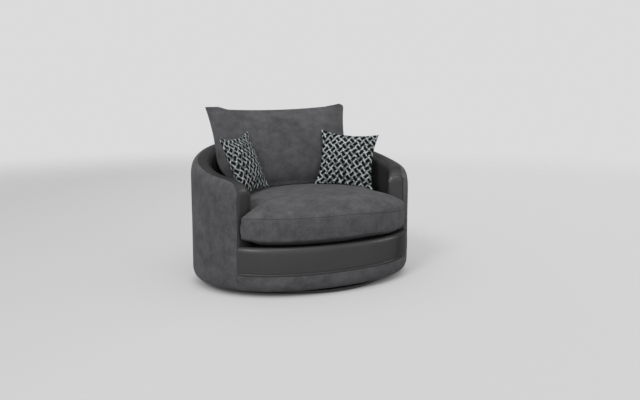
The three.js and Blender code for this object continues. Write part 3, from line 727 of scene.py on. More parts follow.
@dataclass(frozen=True)
class TubPlan:
    """The oval plan of the tub and the line of its rim, as the frame has them."""

    width: float = 1200.0
    depth: float = 912.0
    exponent: float = 2.24
    arm_end: float = 64.2
    face_turn: float = 17.0
    face_fade: float = 26.0
    rim_height: float = 607.0
    rim_slope: float = 0.187
    rim_sweep: float = 35.0
    rim_droop: float = 26.0
    rim_droop_length: float = 95.0
    wall: float = 100.0
    shoulder_width: float = 45.0
    shoulder_drop: float = 85.0
    shoulder_fullness: float = 2.7  # two gives a plain quarter of an ellipse
    corner_round: float = 36.0
    padding: float = 8.0  # how far the padding swells the inside of the wall above the seat
    padding_from: float = 385.0  # height where it starts to
    padding_rise: float = 60.0
    seam_inset: float = 37.0
    left_strip: float = 10.0
    right_strip: float = 28.0
    left_seam_end: float = 12.0
    right_seam_end: float = 30.0
    seam_swing: float = 34.0  # how far behind the arm's end its seam starts to swing outwards
    nose_drop: float = 8.0
    nose_length: float = 28.0

    def outer(self, angle: float) -> tuple[Vector, Vector]:
        """Finds the outer face at an angle.

        Args:
            angle: Degrees from straight ahead.

        Returns:
            The point and the outward normal, both flat.
        """
        sine, cosine = math.sin(math.radians(angle)), -math.cos(math.radians(angle))
        half_x, half_y, power = self.width / 2, self.depth / 2, self.exponent
        reach = (abs(sine / half_x) ** power + abs(cosine / half_y) ** power) ** (-1 / power)
        x, y = reach * sine, reach * cosine
        normal = Vector(
            (
                math.copysign(abs(x / half_x) ** (power - 1), x) / half_x,
                math.copysign(abs(y / half_y) ** (power - 1), y) / half_y,
                0.0,
            )
        )
        return Vector((x, y, 0.0)), normal.normalized()

    def inward(self, angle: float) -> tuple[Vector, float]:
        """Finds the way into the wall, which turns towards the arm's face near its end.

        Args:
            angle: Degrees from straight ahead.

        Returns:
            The flat direction, and the turn in radians.
        """
        point, normal = self.outer(angle)
        around = min(abs(angle), 360 - abs(angle))
        share = 1 - ease(abs(around - self.arm_end) / self.face_fade)
        turn = math.radians(self.face_turn) * share * math.copysign(1, point.x)
        return Matrix.Rotation(turn, 3, "Z") @ -normal, turn

    def spot(self, angle: float, inset: float, height: float) -> Vector:
        """Gives the point at an inset from the outer face and at a height."""
        point, _ = self.outer(angle)
        direction, turn = self.inward(angle)
        point = point + direction * (inset / math.cos(turn))
        return Vector((point.x, point.y, height))

    def to_end(self, angle: float) -> float:
        """Gives the distance from an angle to the arm's end."""
        point, _ = self.outer(angle)
        end, _ = self.outer(self.arm_end)
        return math.hypot(abs(point.x) - end.x, point.y - end.y)

    def crest(self, angle: float) -> float:
        """Gives the height of the rim's crest at an angle; it noses down at the arm's end."""
        point, _ = self.outer(angle)
        away = self.to_end(angle)
        near = max(0.0, 1 - away / self.rim_droop_length)
        nose = max(0.0, 1 - away / self.nose_length)
        sweep = self.rim_sweep * (point.y / (self.depth / 2)) ** 2
        high = self.rim_height + self.rim_slope * point.y + sweep
        return high - self.rim_droop * near * near - self.nose_drop * nose * nose

    def seam_at(self, angle: float) -> float:
        """Gives the inset of the seam on the rim, which swings outwards at the arms' ends."""
        last = self.right_seam_end if 0 < angle < 180 else self.left_seam_end
        share = ease(1 - self.to_end(angle) / self.seam_swing)
        return self.seam_inset + (last - self.seam_inset) * share

    def strip(self, side: Side) -> float:
        """Gives how much of an arm front the fabric covers; the two are not sewn quite alike."""
        return self.left_strip if side is Side.LEFT else self.right_strip

    def front_seam(self, side: Side, profile: Sequence[tuple[float, float]]) -> list[Vector]:
        """Finds the seam on an arm front, where the fabric that turned its corner ends.

        Args:
            side: Which arm.
            profile: The fabric's section at the arm's end.

        Returns:
            For each point of the section its way in from the outline and its distance to the
            seam, as across, up and width.
        """
        stretch = 1 / math.cos(math.radians(self.face_turn))
        flat = [Vector((inset * stretch, z)) for inset, z in profile]
        found = []
        for j, spot in enumerate(flat):
            after = (flat[min(j + 1, len(flat) - 1)] - flat[max(j - 1, 0)]).normalized()
            width = max(8.0, (self.strip(side) - spot.x) / max(after.y, 0.35))
            found.append(Vector((after.y, -after.x, width)))
        return found

    def face_axes(self, side: Side) -> tuple[Vector, Vector, Vector]:
        """Gives an arm front's outer corner, the way across it, and the way that it looks."""
        corner, _ = self.outer(side.value * self.arm_end)
        across, _ = self.inward(side.value * self.arm_end)
        forward = Vector((-side.value * across.y, side.value * across.x, 0.0))
        return corner, across, forward

    def shoulder(self, crest: float, angle: float) -> tuple[float, float]:
        """Gives inset and height on the soft outer edge of the rim, at an angle of its quarter."""
        turn, power = math.radians(angle), 2 / self.shoulder_fullness
        inset = self.shoulder_width * (1 - math.cos(turn) ** power)
        return inset, crest - self.shoulder_drop * (1 - math.sin(turn) ** power)

    def shoulder_angle(self, inset: float) -> float:
        """Gives the angle on that quarter where it has an inset."""
        share = (1 - inset / self.shoulder_width) ** (self.shoulder_fullness / 2)
        return math.degrees(math.acos(share))

    def corner(self, crest: float, angle: float) -> tuple[float, float]:
        """Gives inset and height on the inner edge of the rim, at an angle of its quarter."""
        turn = math.radians(angle)
        inset = self.wall + self.padding - self.corner_round * (1 - math.sin(turn))
        return inset, crest - self.corner_round * (1 - math.cos(turn))


# How a cover's edge turns down into a sewn seam: millimetres along it and below its face.
SEAM_EDGE = ((0.0, 0.0), (0.9, 0.35), (1.5, 1.3), (1.7, 4.0))


def turned_in(
    last: tuple[float, float], before: tuple[float, float], inner: float = 1.0
) -> list[tuple[float, float]]:
    """Carries a profile past its last point and down into a seam.

    Args:
        last: Inset and height where the seam begins.
        before: The profile's point before that.
        inner: One where the piece lies to the right of the way of travel, else minus one.

    Returns:
        The points of the turned edge, the last point first.
    """
    way = Vector((last[0] - before[0], last[1] - before[1])).normalized()
    down = Vector((way.y, -way.x)) * inner
    start = Vector(last)
    return [tuple(start + way * along + down * depth) for along, depth in SEAM_EDGE]


@dataclass
class TubCovers:
    """The fabric outside and the leather inside of the tub, and the two bands along its front."""

    plan: TubPlan = field(default_factory=TubPlan)
    bottom: float = 27.8
    bottom_inset: float = 28.0
    bottom_rise: float = 58.0
    tuck: float = 60.0
    border_bottom: float = 108.0
    border_top: float = 240.0
    border_round: float = 21.0
    welt: float = 12.0  # height of the stitched fold along the border's lower edge
    lip: float = 66.0
    border_puff: float = 8.5  # how far the border's padding stands above its lip
    border_tilt: float = 4.5  # how much more than that at the left, and less at the right
    face_ahead: float = 12.0  # how far the arm fronts stand ahead of the covers' ends
    front_end: float = 63.0  # degrees at which the bands along the front end
    front_gap: float = 0.18  # degrees left between a band's end and the outer cover
    wrap_start: float = 1.15  # degrees behind the arm's end where the fabric starts to turn
    wrap_low: float = 239.0  # height above which it turns the arm's front corner
    wrap_rise: float = 3.0
    levels: tuple[float, ...] = (104, 122, 145, 170, 195, 216, 232, 238.6, 241.4, 250)
    shell: float = 5.0
    stations: int = 190
    turn_steps: int = 9

    def wall_angles(self, margin: float) -> list[float]:
        """Gives the angles of the sweep round the back, from one arm to the other."""
        start = self.plan.arm_end + margin
        span = 360 - 2 * start
        return [start + span * i / self.stations for i in range(self.stations + 1)]

    def foot(self) -> list[tuple[float, float]]:
        """Gives the tuck under the tub and the curved-in bottom edge."""
        rows = [(self.tuck, self.bottom), (self.tuck * 0.72, self.bottom)]
        for i in range(9):
            turn = math.radians(i * 90 / 8)
            inset = self.bottom_inset * (1 - math.sin(turn))
            rows.append((inset, self.bottom + self.bottom_rise * (1 - math.cos(turn))))
        return rows

    def fabric_profile(self, angle: float) -> list[tuple[float, float]]:
        """Gives the outside's section at an angle, from the tuck up to the seam on the rim."""
        crest = self.plan.crest(angle)
        rows = self.foot()
        shoulder_foot = crest - self.plan.shoulder_drop
        rows += [(0.0, float(z)) for z in self.levels]
        start = rows[-1][1]
        rows += [(0.0, start + (shoulder_foot - start) * i / 9) for i in range(1, 10)]
        last = self.plan.shoulder_angle(self.plan.seam_at(angle) - 1.6)
        rows += [self.plan.shoulder(crest, last * i / 12) for i in range(1, 12)]
        edge = self.plan.shoulder(crest, last)
        return rows + turned_in(edge, rows[-1])

    def sew_skin(
        self,
        columns: Sequence[Sequence[Vector]],
        inner_side: Vector,
        name: str,
        finish: Finish,
        slot: str,
        node: str,
    ) -> bpy.types.Object:
        """Drapes a skin over columns of points, gives it its thickness and hangs it on the tub.

        Args:
            columns: Its points, column by column.
            inner_side: A point on the side that its faces look away from.
            name: The piece's name.
            finish: What it is made of.
            slot: The record's material slot.
            node: The CAD node that it replaces.

        Returns:
            The piece.
        """
        bm = lattice(len(columns) - 1, len(columns[0]) - 1, lambda i, j: columns[i][j])
        face_away_from(bm, inner_side)
        bmesh.ops.solidify(bm, geom=bm.faces[:], thickness=self.shell)
        return finish_piece(bm, name, finish, slot, "tub", node)

    def make_outside(self) -> bpy.types.Object:
        """Sews the outer cover, whose ends turn round the arms' front corners.

        Returns:
            The piece.
        """
        plan = self.plan
        angles = self.wall_angles(self.wrap_start)
        wall = []
        for angle in angles:
            wall.append([plan.spot(angle, d, z) for d, z in self.fabric_profile(angle)])
        for column, angle in zip(wall, angles):
            _, normal = plan.outer(angle)
            for spot in column[11:-4]:
                spot += normal * ripple(spot, 160.0, 0.9)
        right = self.wrapped_end(Side.RIGHT, wall[0])
        left = self.wrapped_end(Side.LEFT, wall[-1])
        columns = right[::-1] + wall + left
        finish, inner_side = BrushedMicrofibre(), Vector((0, 0, 300))
        return self.sew_skin(
            columns, inner_side, "fabric_outside", finish, "fabric", "outer_cover"
        )

    def wrapped_end(self, side: Side, start: list[Vector]) -> list[list[Vector]]:
        """Turns the outer cover round an arm's front corner, or down into a seam below the arm.

        Args:
            side: Which arm.
            start: The column of points where the turn starts.

        Returns:
            The further columns, on to the seam.
        """
        plan = self.plan
        corner, across, forward = plan.face_axes(side)
        end_angle = side.value * plan.arm_end
        profile = self.fabric_profile(end_angle)
        end = [plan.spot(end_angle, d, z) for d, z in profile]
        band_end = side.value * self.front_end
        foot = [plan.spot(band_end, d, z) for d, z in profile]
        proper = len(profile) - len(SEAM_EDGE) + 1
        ways = plan.front_seam(side, profile[:proper])
        columns = [[] for _ in range(self.turn_steps + 3)]
        for j in range(len(profile)):
            k = min(j, proper - 1)
            first, last, sunk = start[k], end[k], end[j] - end[k]
            inwards = across * ways[k].x + Vector((0, 0, ways[k].y))
            run = last - first
            run.z = 0.0
            ahead = (corner + forward * self.face_ahead - first).dot(forward) / run.dot(forward)
            tip = first + run * ahead
            tip.z = last.z
            seam = last + forward * self.face_ahead + inwards * ways[k].z
            wrapped = ease((last.z - self.wrap_low) / self.wrap_rise)
            past = (foot[k] - last).normalized()
            for i in range(self.turn_steps):
                t = (i + 1) / self.turn_steps
                turned = first * (1 - t) ** 2 + tip * (2 * t * (1 - t)) + seam * t * t
                straight = first * (1 - t) ** 2 + last * (2 * t * (1 - t)) + foot[k] * t * t
                columns[i].append(straight.lerp(turned, wrapped) + sunk)
            for i, (along, depth) in enumerate(SEAM_EDGE[1:]):
                turned = seam + inwards * along - forward * depth
                straight = foot[k] + past * (along * 0.3) + across * depth
                columns[self.turn_steps + i].append(straight.lerp(turned, wrapped) + sunk)
        return columns

    def leather_section(self, angle: float) -> list[Vector]:
        """Places the leather's section at an angle, from the rim's seam down to the deck."""
        plan = self.plan
        crest = plan.crest(angle)
        first = plan.shoulder_angle(plan.seam_at(angle) + 1.6)
        rows = [plan.shoulder(crest, first + (90 - first) * i / 8) for i in range(9)]
        flat = plan.wall + plan.padding - plan.corner_round - plan.shoulder_width
        for i in range(1, 5):
            swell = 1.2 * math.sin(math.pi * i / 5)
            rows.append((plan.shoulder_width + flat * i / 5, crest + swell))
        rows += [plan.corner(crest, 90 * i / 12) for i in range(13)]
        high, low = rows[-1][1], self.border_top + 0.6
        for i in range(1, 15):
            height = high + (low - high) * i / 14
            share = ease((height - plan.padding_from) / plan.padding_rise)
            rows.append((plan.wall + plan.padding * share, height))
        spots = [plan.spot(angle, d, z) for d, z in rows]
        for spot in spots[:-14]:
            spot.z += ripple(spot, 110.0, 1.0)
        return spots

    def make_inside(self) -> bpy.types.Object:
        """Sews the leather that runs from the seam over the rim and down inside.

        Returns:
            The piece.
        """
        columns = []
        for angle in self.wall_angles(0.03):
            section = self.leather_section(angle)
            way = (section[0] - section[1]).normalized()
            inward, _ = self.plan.inward(angle)
            down = Vector((inward.x * 0.55, inward.y * 0.55, -0.83))
            sunk = [section[0] + way * along + down * depth for along, depth in SEAM_EDGE[1:]]
            columns.append(sunk[::-1] + section)
        # The skin hangs from the rim, so it looks away from a point far below.
        finish, inner_side = SmoothFauxLeather(), Vector((0, 0, -1e6))
        return self.sew_skin(
            columns, inner_side, "leather_inside", finish, "leather", "inner_cover"
        )

    def front_sweep(
        self,
        name: str,
        profile: Sequence[tuple[float, float, float]],
        finish: Finish,
        slot: str,
        node: str,
    ) -> bpy.types.Object:
        """Sews a band along the front, turned in at both ends against the outer cover.

        Args:
            name: The piece's name.
            profile: Its section, as insets, heights and how far the padding lifts each point.
            finish: What it is made of.
            slot: The record's material slot.
            node: The CAD node that it replaces.

        Returns:
            The piece.
        """
        left, right = -self.front_end + self.front_gap, self.front_end - self.front_gap
        angles = [left + (right - left) * i / 120 for i in range(121)]
        edges = [(0.02 * k, depth) for k, (_, depth) in enumerate(SEAM_EDGE[1:], 1)]
        places = [(left - away, depth) for away, depth in reversed(edges)]
        places += [(angle, 0.0) for angle in angles]
        places += [(right + away, depth) for away, depth in edges]
        columns = []
        for angle, depth in places:
            puff = 1 - self.border_tilt / self.border_puff * angle / self.plan.arm_end
            column = [self.plan.spot(angle, d + depth, z + lift * puff) for d, z, lift in profile]
            columns.append(column)
        return self.sew_skin(columns, Vector((0, 0, 150)), name, finish, slot, node)

    def make_bands(self) -> None:
        """Sews the fabric band at the foot and the padded leather border above it."""
        foot = self.foot() + [(0.0, 94.0), (0.0, 101.0), (0.0, self.border_bottom - 2.0)]
        foot += turned_in(foot[-1], foot[-2])[1:]
        flat = [(inset, height, 0.0) for inset, height in foot]
        self.front_sweep("fabric_plinth", flat, BrushedMicrofibre(), "fabric", "plinth_band")

        low, top, radius = self.border_bottom + 0.3, self.border_top, self.border_round
        height = top - radius - low
        rows = [(4.0, low, 0.0), (1.6, low + 0.2, 0.0), (0.5, low + 1.0, 0.0)]
        rises = [2.2, 5.0, 8.0, *(self.welt + step for step in (-2.4, -1.2, 0.0, 1.2, 2.4))]
        rises += [self.welt + 8.0 + (height - self.welt - 8.0) * i / 10 for i in range(11)]
        for rise in rises:
            stitched = 2.0 * math.exp(-(((rise - self.welt) / 1.5) ** 2))
            padded = 1.8 * math.sin(math.pi * rise / height)
            rows.append((stitched - padded, low + rise, 0.0))
        for i in range(1, 11):
            turn = math.radians(90 * i / 10)
            lift = self.border_puff * math.sin(turn)
            rows.append((radius * (1 - math.cos(turn)), top - radius * (1 - math.sin(turn)), lift))
        for i in range(1, 11):
            inset = radius + (self.lip - radius) * i / 10
            lift = self.border_puff * (1 - ease((inset - radius) / 26.0))
            rows.append((inset, top, lift))
        self.front_sweep("leather_border", rows, SmoothFauxLeather(), "leather", "seat_border")


@dataclass
class ArmFront:
    """The padded leather front of an arm, inside the strip of fabric that turns its corner."""

    covers: TubCovers
    side: Side
    seam_gap: float = 1.3
    foot: float = 240.6
    back: float = 0.1
    depth: float = 12.0
    seam_round: float = 5.0
    inner_round: float = 12.0
    nose_round: float = 32.0
    crown: float = 2.2  # how much more the padding stands out away from the inner edge
    across_faces: int = 26
    up_faces: int = 70

    def edges(self) -> tuple[list[Vector], list[Vector], list[Vector], list[Vector]]:
        """Gives the front's bottom, top, outer and inner edges as distances across and heights."""
        plan = self.covers.plan
        end_angle = self.side.value * plan.arm_end
        corner, across, _ = plan.face_axes(self.side)
        stretch = 1 / math.cos(math.radians(plan.face_turn))
        profile = self.covers.fabric_profile(end_angle)
        profile = profile[: len(profile) - len(SEAM_EDGE) + 1]
        outer = []
        for (inset, z), way in zip(profile, plan.front_seam(self.side, profile)):
            if z > self.foot + 8:
                inwards = Vector((way.x, way.y)) * (way.z + self.seam_gap)
                outer.append(Vector((inset * stretch, z)) + inwards)
        outer.insert(0, Vector((outer[0].x, self.foot)))
        leather = self.covers.leather_section(end_angle)
        section = [Vector(((p - corner).dot(across), p.z)) for p in leather]
        outer = [p for p in outer if p.y < section[0].y - 6] + [section[0]]
        bend = len(section) - 21
        return [outer[0], section[-1]], section[: bend + 1], outer, section[: bend - 1 : -1]

    @staticmethod
    def along(line: list[Vector], share: float) -> Vector:
        """Finds the point at a share of a line's length."""
        lengths = [(b - a).length for a, b in zip(line, line[1:])]
        left = share * sum(lengths)
        for a, b, length in zip(line, line[1:], lengths):
            if left <= length:
                return a.lerp(b, left / length)
            left -= length
        return line[-1].copy()

    @staticmethod
    def away(spot: Vector, line: list[Vector]) -> float:
        """Measures how far a point is from a line."""
        nearest = 1e9
        for a, b in zip(line, line[1:]):
            share = (spot - a).dot(b - a) / max((b - a).length_squared, 1e-9)
            nearest = min(nearest, (spot - a.lerp(b, min(max(share, 0.0), 1.0))).length)
        return nearest

    def rise(
        self, spot: Vector, outer: list[Vector], top: list[Vector], inner: list[Vector]
    ) -> float:
        """Gives the padding's height above the front's back at a point, as a share."""

        def turned(away: float, radius: float) -> float:
            """Rounds an edge over."""
            return math.sqrt(max(0.0, 1 - (1 - min(away / radius, 1.0)) ** 2))

        share = turned(self.away(spot, outer), self.seam_round)
        share *= turned(self.away(spot, inner), self.inner_round)
        nose = 1 - (1 - min(self.away(spot, top) / self.nose_round, 1.0)) ** 2.4
        return share * nose

    def make(self) -> bpy.types.Object:
        """Pads and rounds the front.

        Returns:
            The piece.
        """
        corner, across, forward = self.covers.plan.face_axes(self.side)
        bottom, top, outer, inner = self.edges()

        def crowd(share: float) -> float:
            """Crowds the faces towards the edges, where the padding turns down."""
            return 0.5 + 0.5 * math.sin((share - 0.5) * math.pi * 0.92) / math.sin(0.46 * math.pi)

        def place(i: int, j: int) -> Vector:
            """Spans the four edges, and raises each point by how far it is from them."""
            u, v = crowd(i / self.across_faces), crowd(j / self.up_faces)
            spot = self.along(bottom, u) * (1 - v) + self.along(top, u) * v
            spot += self.along(outer, v) * (1 - u) + self.along(inner, v) * u
            spot -= (bottom[0] * (1 - u) + bottom[-1] * u) * (1 - v)
            spot -= (top[0] * (1 - u) + top[-1] * u) * v
            raised = self.back + (self.depth - self.back) * self.rise(spot, outer, top, inner[1:])
            crown = self.crown * ease((self.away(spot, inner) - 4) / 40)
            raised += crown * ease(self.away(spot, outer) / 20)
            return corner + across * spot.x + Vector((0, 0, spot.y)) + forward * raised

        bm = lattice(self.across_faces, self.up_faces, place)
        bmesh.ops.edgeloop_fill(bm, edges=[e for e in bm.edges if e.is_boundary])
        bmesh.ops.recalc_face_normals(bm, faces=bm.faces[:])
        side = self.side.name.lower()
        name = f"leather_arm_front_{side}"
        piece = finish_piece(bm, name, SmoothFauxLeather(), "leather", "tub", f"arm_facing_{side}")
        return piece


# ---------------------------------------------------------------------------------------------
# Cushions
# ---------------------------------------------------------------------------------------------


@dataclass(frozen=True)
class Filling:
    """How hard a cushion is stuffed, for the cloth simulation."""

    pressure: float = 4.0
    growth: float = 0.02  # how much larger the cover is cut than its filling
    frames: int = 20
    cap: float = 10.0  # most that a point may move, in millimetres
    seam_reach: float = 34.0  # how far from a seam its stitches hold the cover back
    stiffness: float = 12.0
    bending: float = 0.4

    def swell(self, piece: bpy.types.Object, seam: Sequence[int] = ()) -> None:
        """Blows the cover out and settles its creases, then keeps the result in the mesh.

        Args:
            piece: The cushion, in metres.
            seam: The points of the seams, which stay where they are.
        """
        rest = [vertex.co.copy() for vertex in piece.data.vertices]
        made = piece.modifiers.new("filling", "CLOTH")
        cloth = made.settings
        cloth.quality = 5
        cloth.mass = 0.3
        cloth.tension_stiffness = cloth.compression_stiffness = self.stiffness
        cloth.shear_stiffness = self.stiffness / 2
        cloth.bending_stiffness = self.bending
        cloth.air_damping = 2.0
        cloth.use_pressure = True
        cloth.uniform_pressure_force = self.pressure
        cloth.shrink_min = -self.growth
        cloth.effector_weights.gravity = 0.0
        if seam:
            piece.vertex_groups.new(name="seam").add(list(seam), 1.0, "REPLACE")
            cloth.vertex_group_mass = "seam"
        made.point_cache.frame_start = 1
        made.point_cache.frame_end = self.frames
        scene = bpy.context.scene
        for frame in range(1, self.frames + 1):
            scene.frame_set(frame)
        settled = piece.evaluated_get(bpy.context.evaluated_depsgraph_get()).data
        moved = [settled.vertices[i].co.copy() for i in range(len(rest))]
        piece.modifiers.remove(made)
        piece.vertex_groups.clear()
        scene.frame_set(1)
        sewn = KDTree(max(len(seam), 1))
        for index in seam:
            sewn.insert(rest[index], index)
        sewn.balance()
        for vertex, before, after in zip(piece.data.vertices, rest, moved):
            step = after - before
            step.length = min(step.length, self.cap * MM)
            away = sewn.find(before)[2] if seam else 1.0
            vertex.co = before + step * (0.15 + 0.85 * ease(away / (self.seam_reach * MM)))
        piece.data.update()


def keep_clear(
    piece: bpy.types.Object, neighbour: bpy.types.Object, gap: float, reach: float = 30.0
) -> None:
    """Presses a soft piece flat where it would come closer to a neighbour than a gap.

    Args:
        piece: The soft piece.
        neighbour: The closed piece that it lies against.
        gap: Millimetres that stay between them.
        reach: Most that a point may be pressed back, in millimetres.
    """
    tree = BVHTree.FromPolygons(
        [vertex.co for vertex in neighbour.data.vertices],
        [polygon.vertices for polygon in neighbour.data.polygons],
    )
    way = Vector((0.12, 0.31, 0.94)).normalized()

    def is_inside(start: Vector) -> bool:
        """Counts how often a line from a point meets the neighbour."""
        meets, found = 0, tree.ray_cast(start, way)[0]
        while found is not None and meets < 30:
            meets, found = meets + 1, tree.ray_cast(found + way * 1e-5, way)[0]
        return meets % 2 == 1

    pressed = 0
    for vertex in piece.data.vertices:
        spot, normal, _, away = tree.find_nearest(vertex.co, reach * MM)
        if spot is not None and (away < gap * MM or is_inside(vertex.co)):
            vertex.co = spot + normal * gap * MM
            pressed += 1
    piece.data.update()
    log.info("%s: %d points pressed back by %s", piece.name, pressed, neighbour.name)


def subdivide_once(piece: bpy.types.Object) -> None:
    """Adds the one smooth subdivision that every cushion gets."""
    made = piece.modifiers.new("smooth", "SUBSURF")
    made.levels = made.render_levels = 1


@dataclass
class SeatCushion:
    """The deep crowned seat cushion: a boxed cover over foam with a fibre wrap."""

    filling: Filling = Filling(pressure=3.0, growth=0.0, frames=20, cap=7.0, stiffness=15.0)
    voxel: float = 8.0
    slack: float = 4.0  # how much smaller it starts
    seam_high: float = 400.0
    seam_low: float = 273.0
    seam_depth: float = 3.6
    seam_half_width: float = 7.0
    line_below: float = 7.0  # how far below the seam's height its shadow is drawn
    left_corner_lift: float = 13.0  # how far the cloth is drawn up under the left front corner
    right_front_drop: float = 16.0  # how much fuller the right front hangs over the border

    def make(self, node: bpy.types.Object) -> bpy.types.Object:
        """Covers the cushion's solid with soft cloth.

        Args:
            node: The cushion's CAD node, of which a copy is used.

        Returns:
            The piece.
        """
        bm = bmesh.new()
        bm.from_mesh(node.data)
        bmesh.ops.remove_doubles(bm, verts=bm.verts, dist=0.02 * MM)
        mesh = bpy.data.meshes.new("seat_cushion_form")
        bm.to_mesh(mesh)
        bm.free()
        form = add_object("seat_cushion_form", mesh)
        remesh = form.modifiers.new("even", "REMESH")
        remesh.mode = "VOXEL"
        remesh.voxel_size = self.voxel * MM
        even = form.evaluated_get(bpy.context.evaluated_depsgraph_get()).to_mesh()
        bm = bmesh.new()
        bm.from_mesh(even)
        bpy.data.objects.remove(form)
        for _ in range(5):
            bmesh.ops.smooth_vert(
                bm, verts=bm.verts, factor=0.5, use_axis_x=True, use_axis_y=True, use_axis_z=True
            )
        bm.normal_update()
        for vertex in bm.verts:
            vertex.co -= vertex.normal * self.slack * MM
        bmesh.ops.scale(bm, vec=(1 / MM,) * 3, verts=bm.verts)
        # Its cloth gets a painted shadow line just under the upper seam.
        piece = finish_piece(
            bm,
            "seat_cushion_soft",
            BrushedMicrofibre("brushed_microfibre_sewn", seam=self.seam_high - self.line_below),
            "fabric",
            "seat",
            "seat_cushion",
        )
        self.filling.swell(piece)
        self.sew(piece)
        return piece

    def sew(self, piece: bpy.types.Object) -> None:
        """Pulls the two seams of the boxing in, and lets the top sit a little unevenly."""
        bm = bmesh.new()
        bm.from_mesh(piece.data)
        bm.normal_update()
        for vertex in bm.verts:
            spot = vertex.co / MM
            flat = Vector((vertex.normal.x, vertex.normal.y, 0.0))
            pull = 0.0
            for height in (self.seam_high, self.seam_low):
                off = (spot.z - height) / self.seam_half_width
                pull += self.seam_depth * math.exp(-off * off)
                near = (spot.z - height) / 20.0
                pull -= 1.2 * math.exp(-near * near)
            low_front = ease((330 - spot.z) / 80) * ease((-spot.y - 180) / 70)
            lift = self.left_corner_lift * ease((-spot.x - 380) / 110)
            drop = self.right_front_drop * ease((spot.x - 120) / 250) * ease((spot.z - 250) / 14)
            vertex.co.z += (lift - drop) * low_front * MM
            rise = max(vertex.normal.z, 0.0)
            settle = ripple(spot, 150.0, 3.2) + ripple(spot + Vector((70, 30, 0)), 60.0, 1.0)
            vertex.co -= flat * pull * MM
            vertex.co.z += settle * rise * MM
        bm.to_mesh(piece.data)
        bm.free()


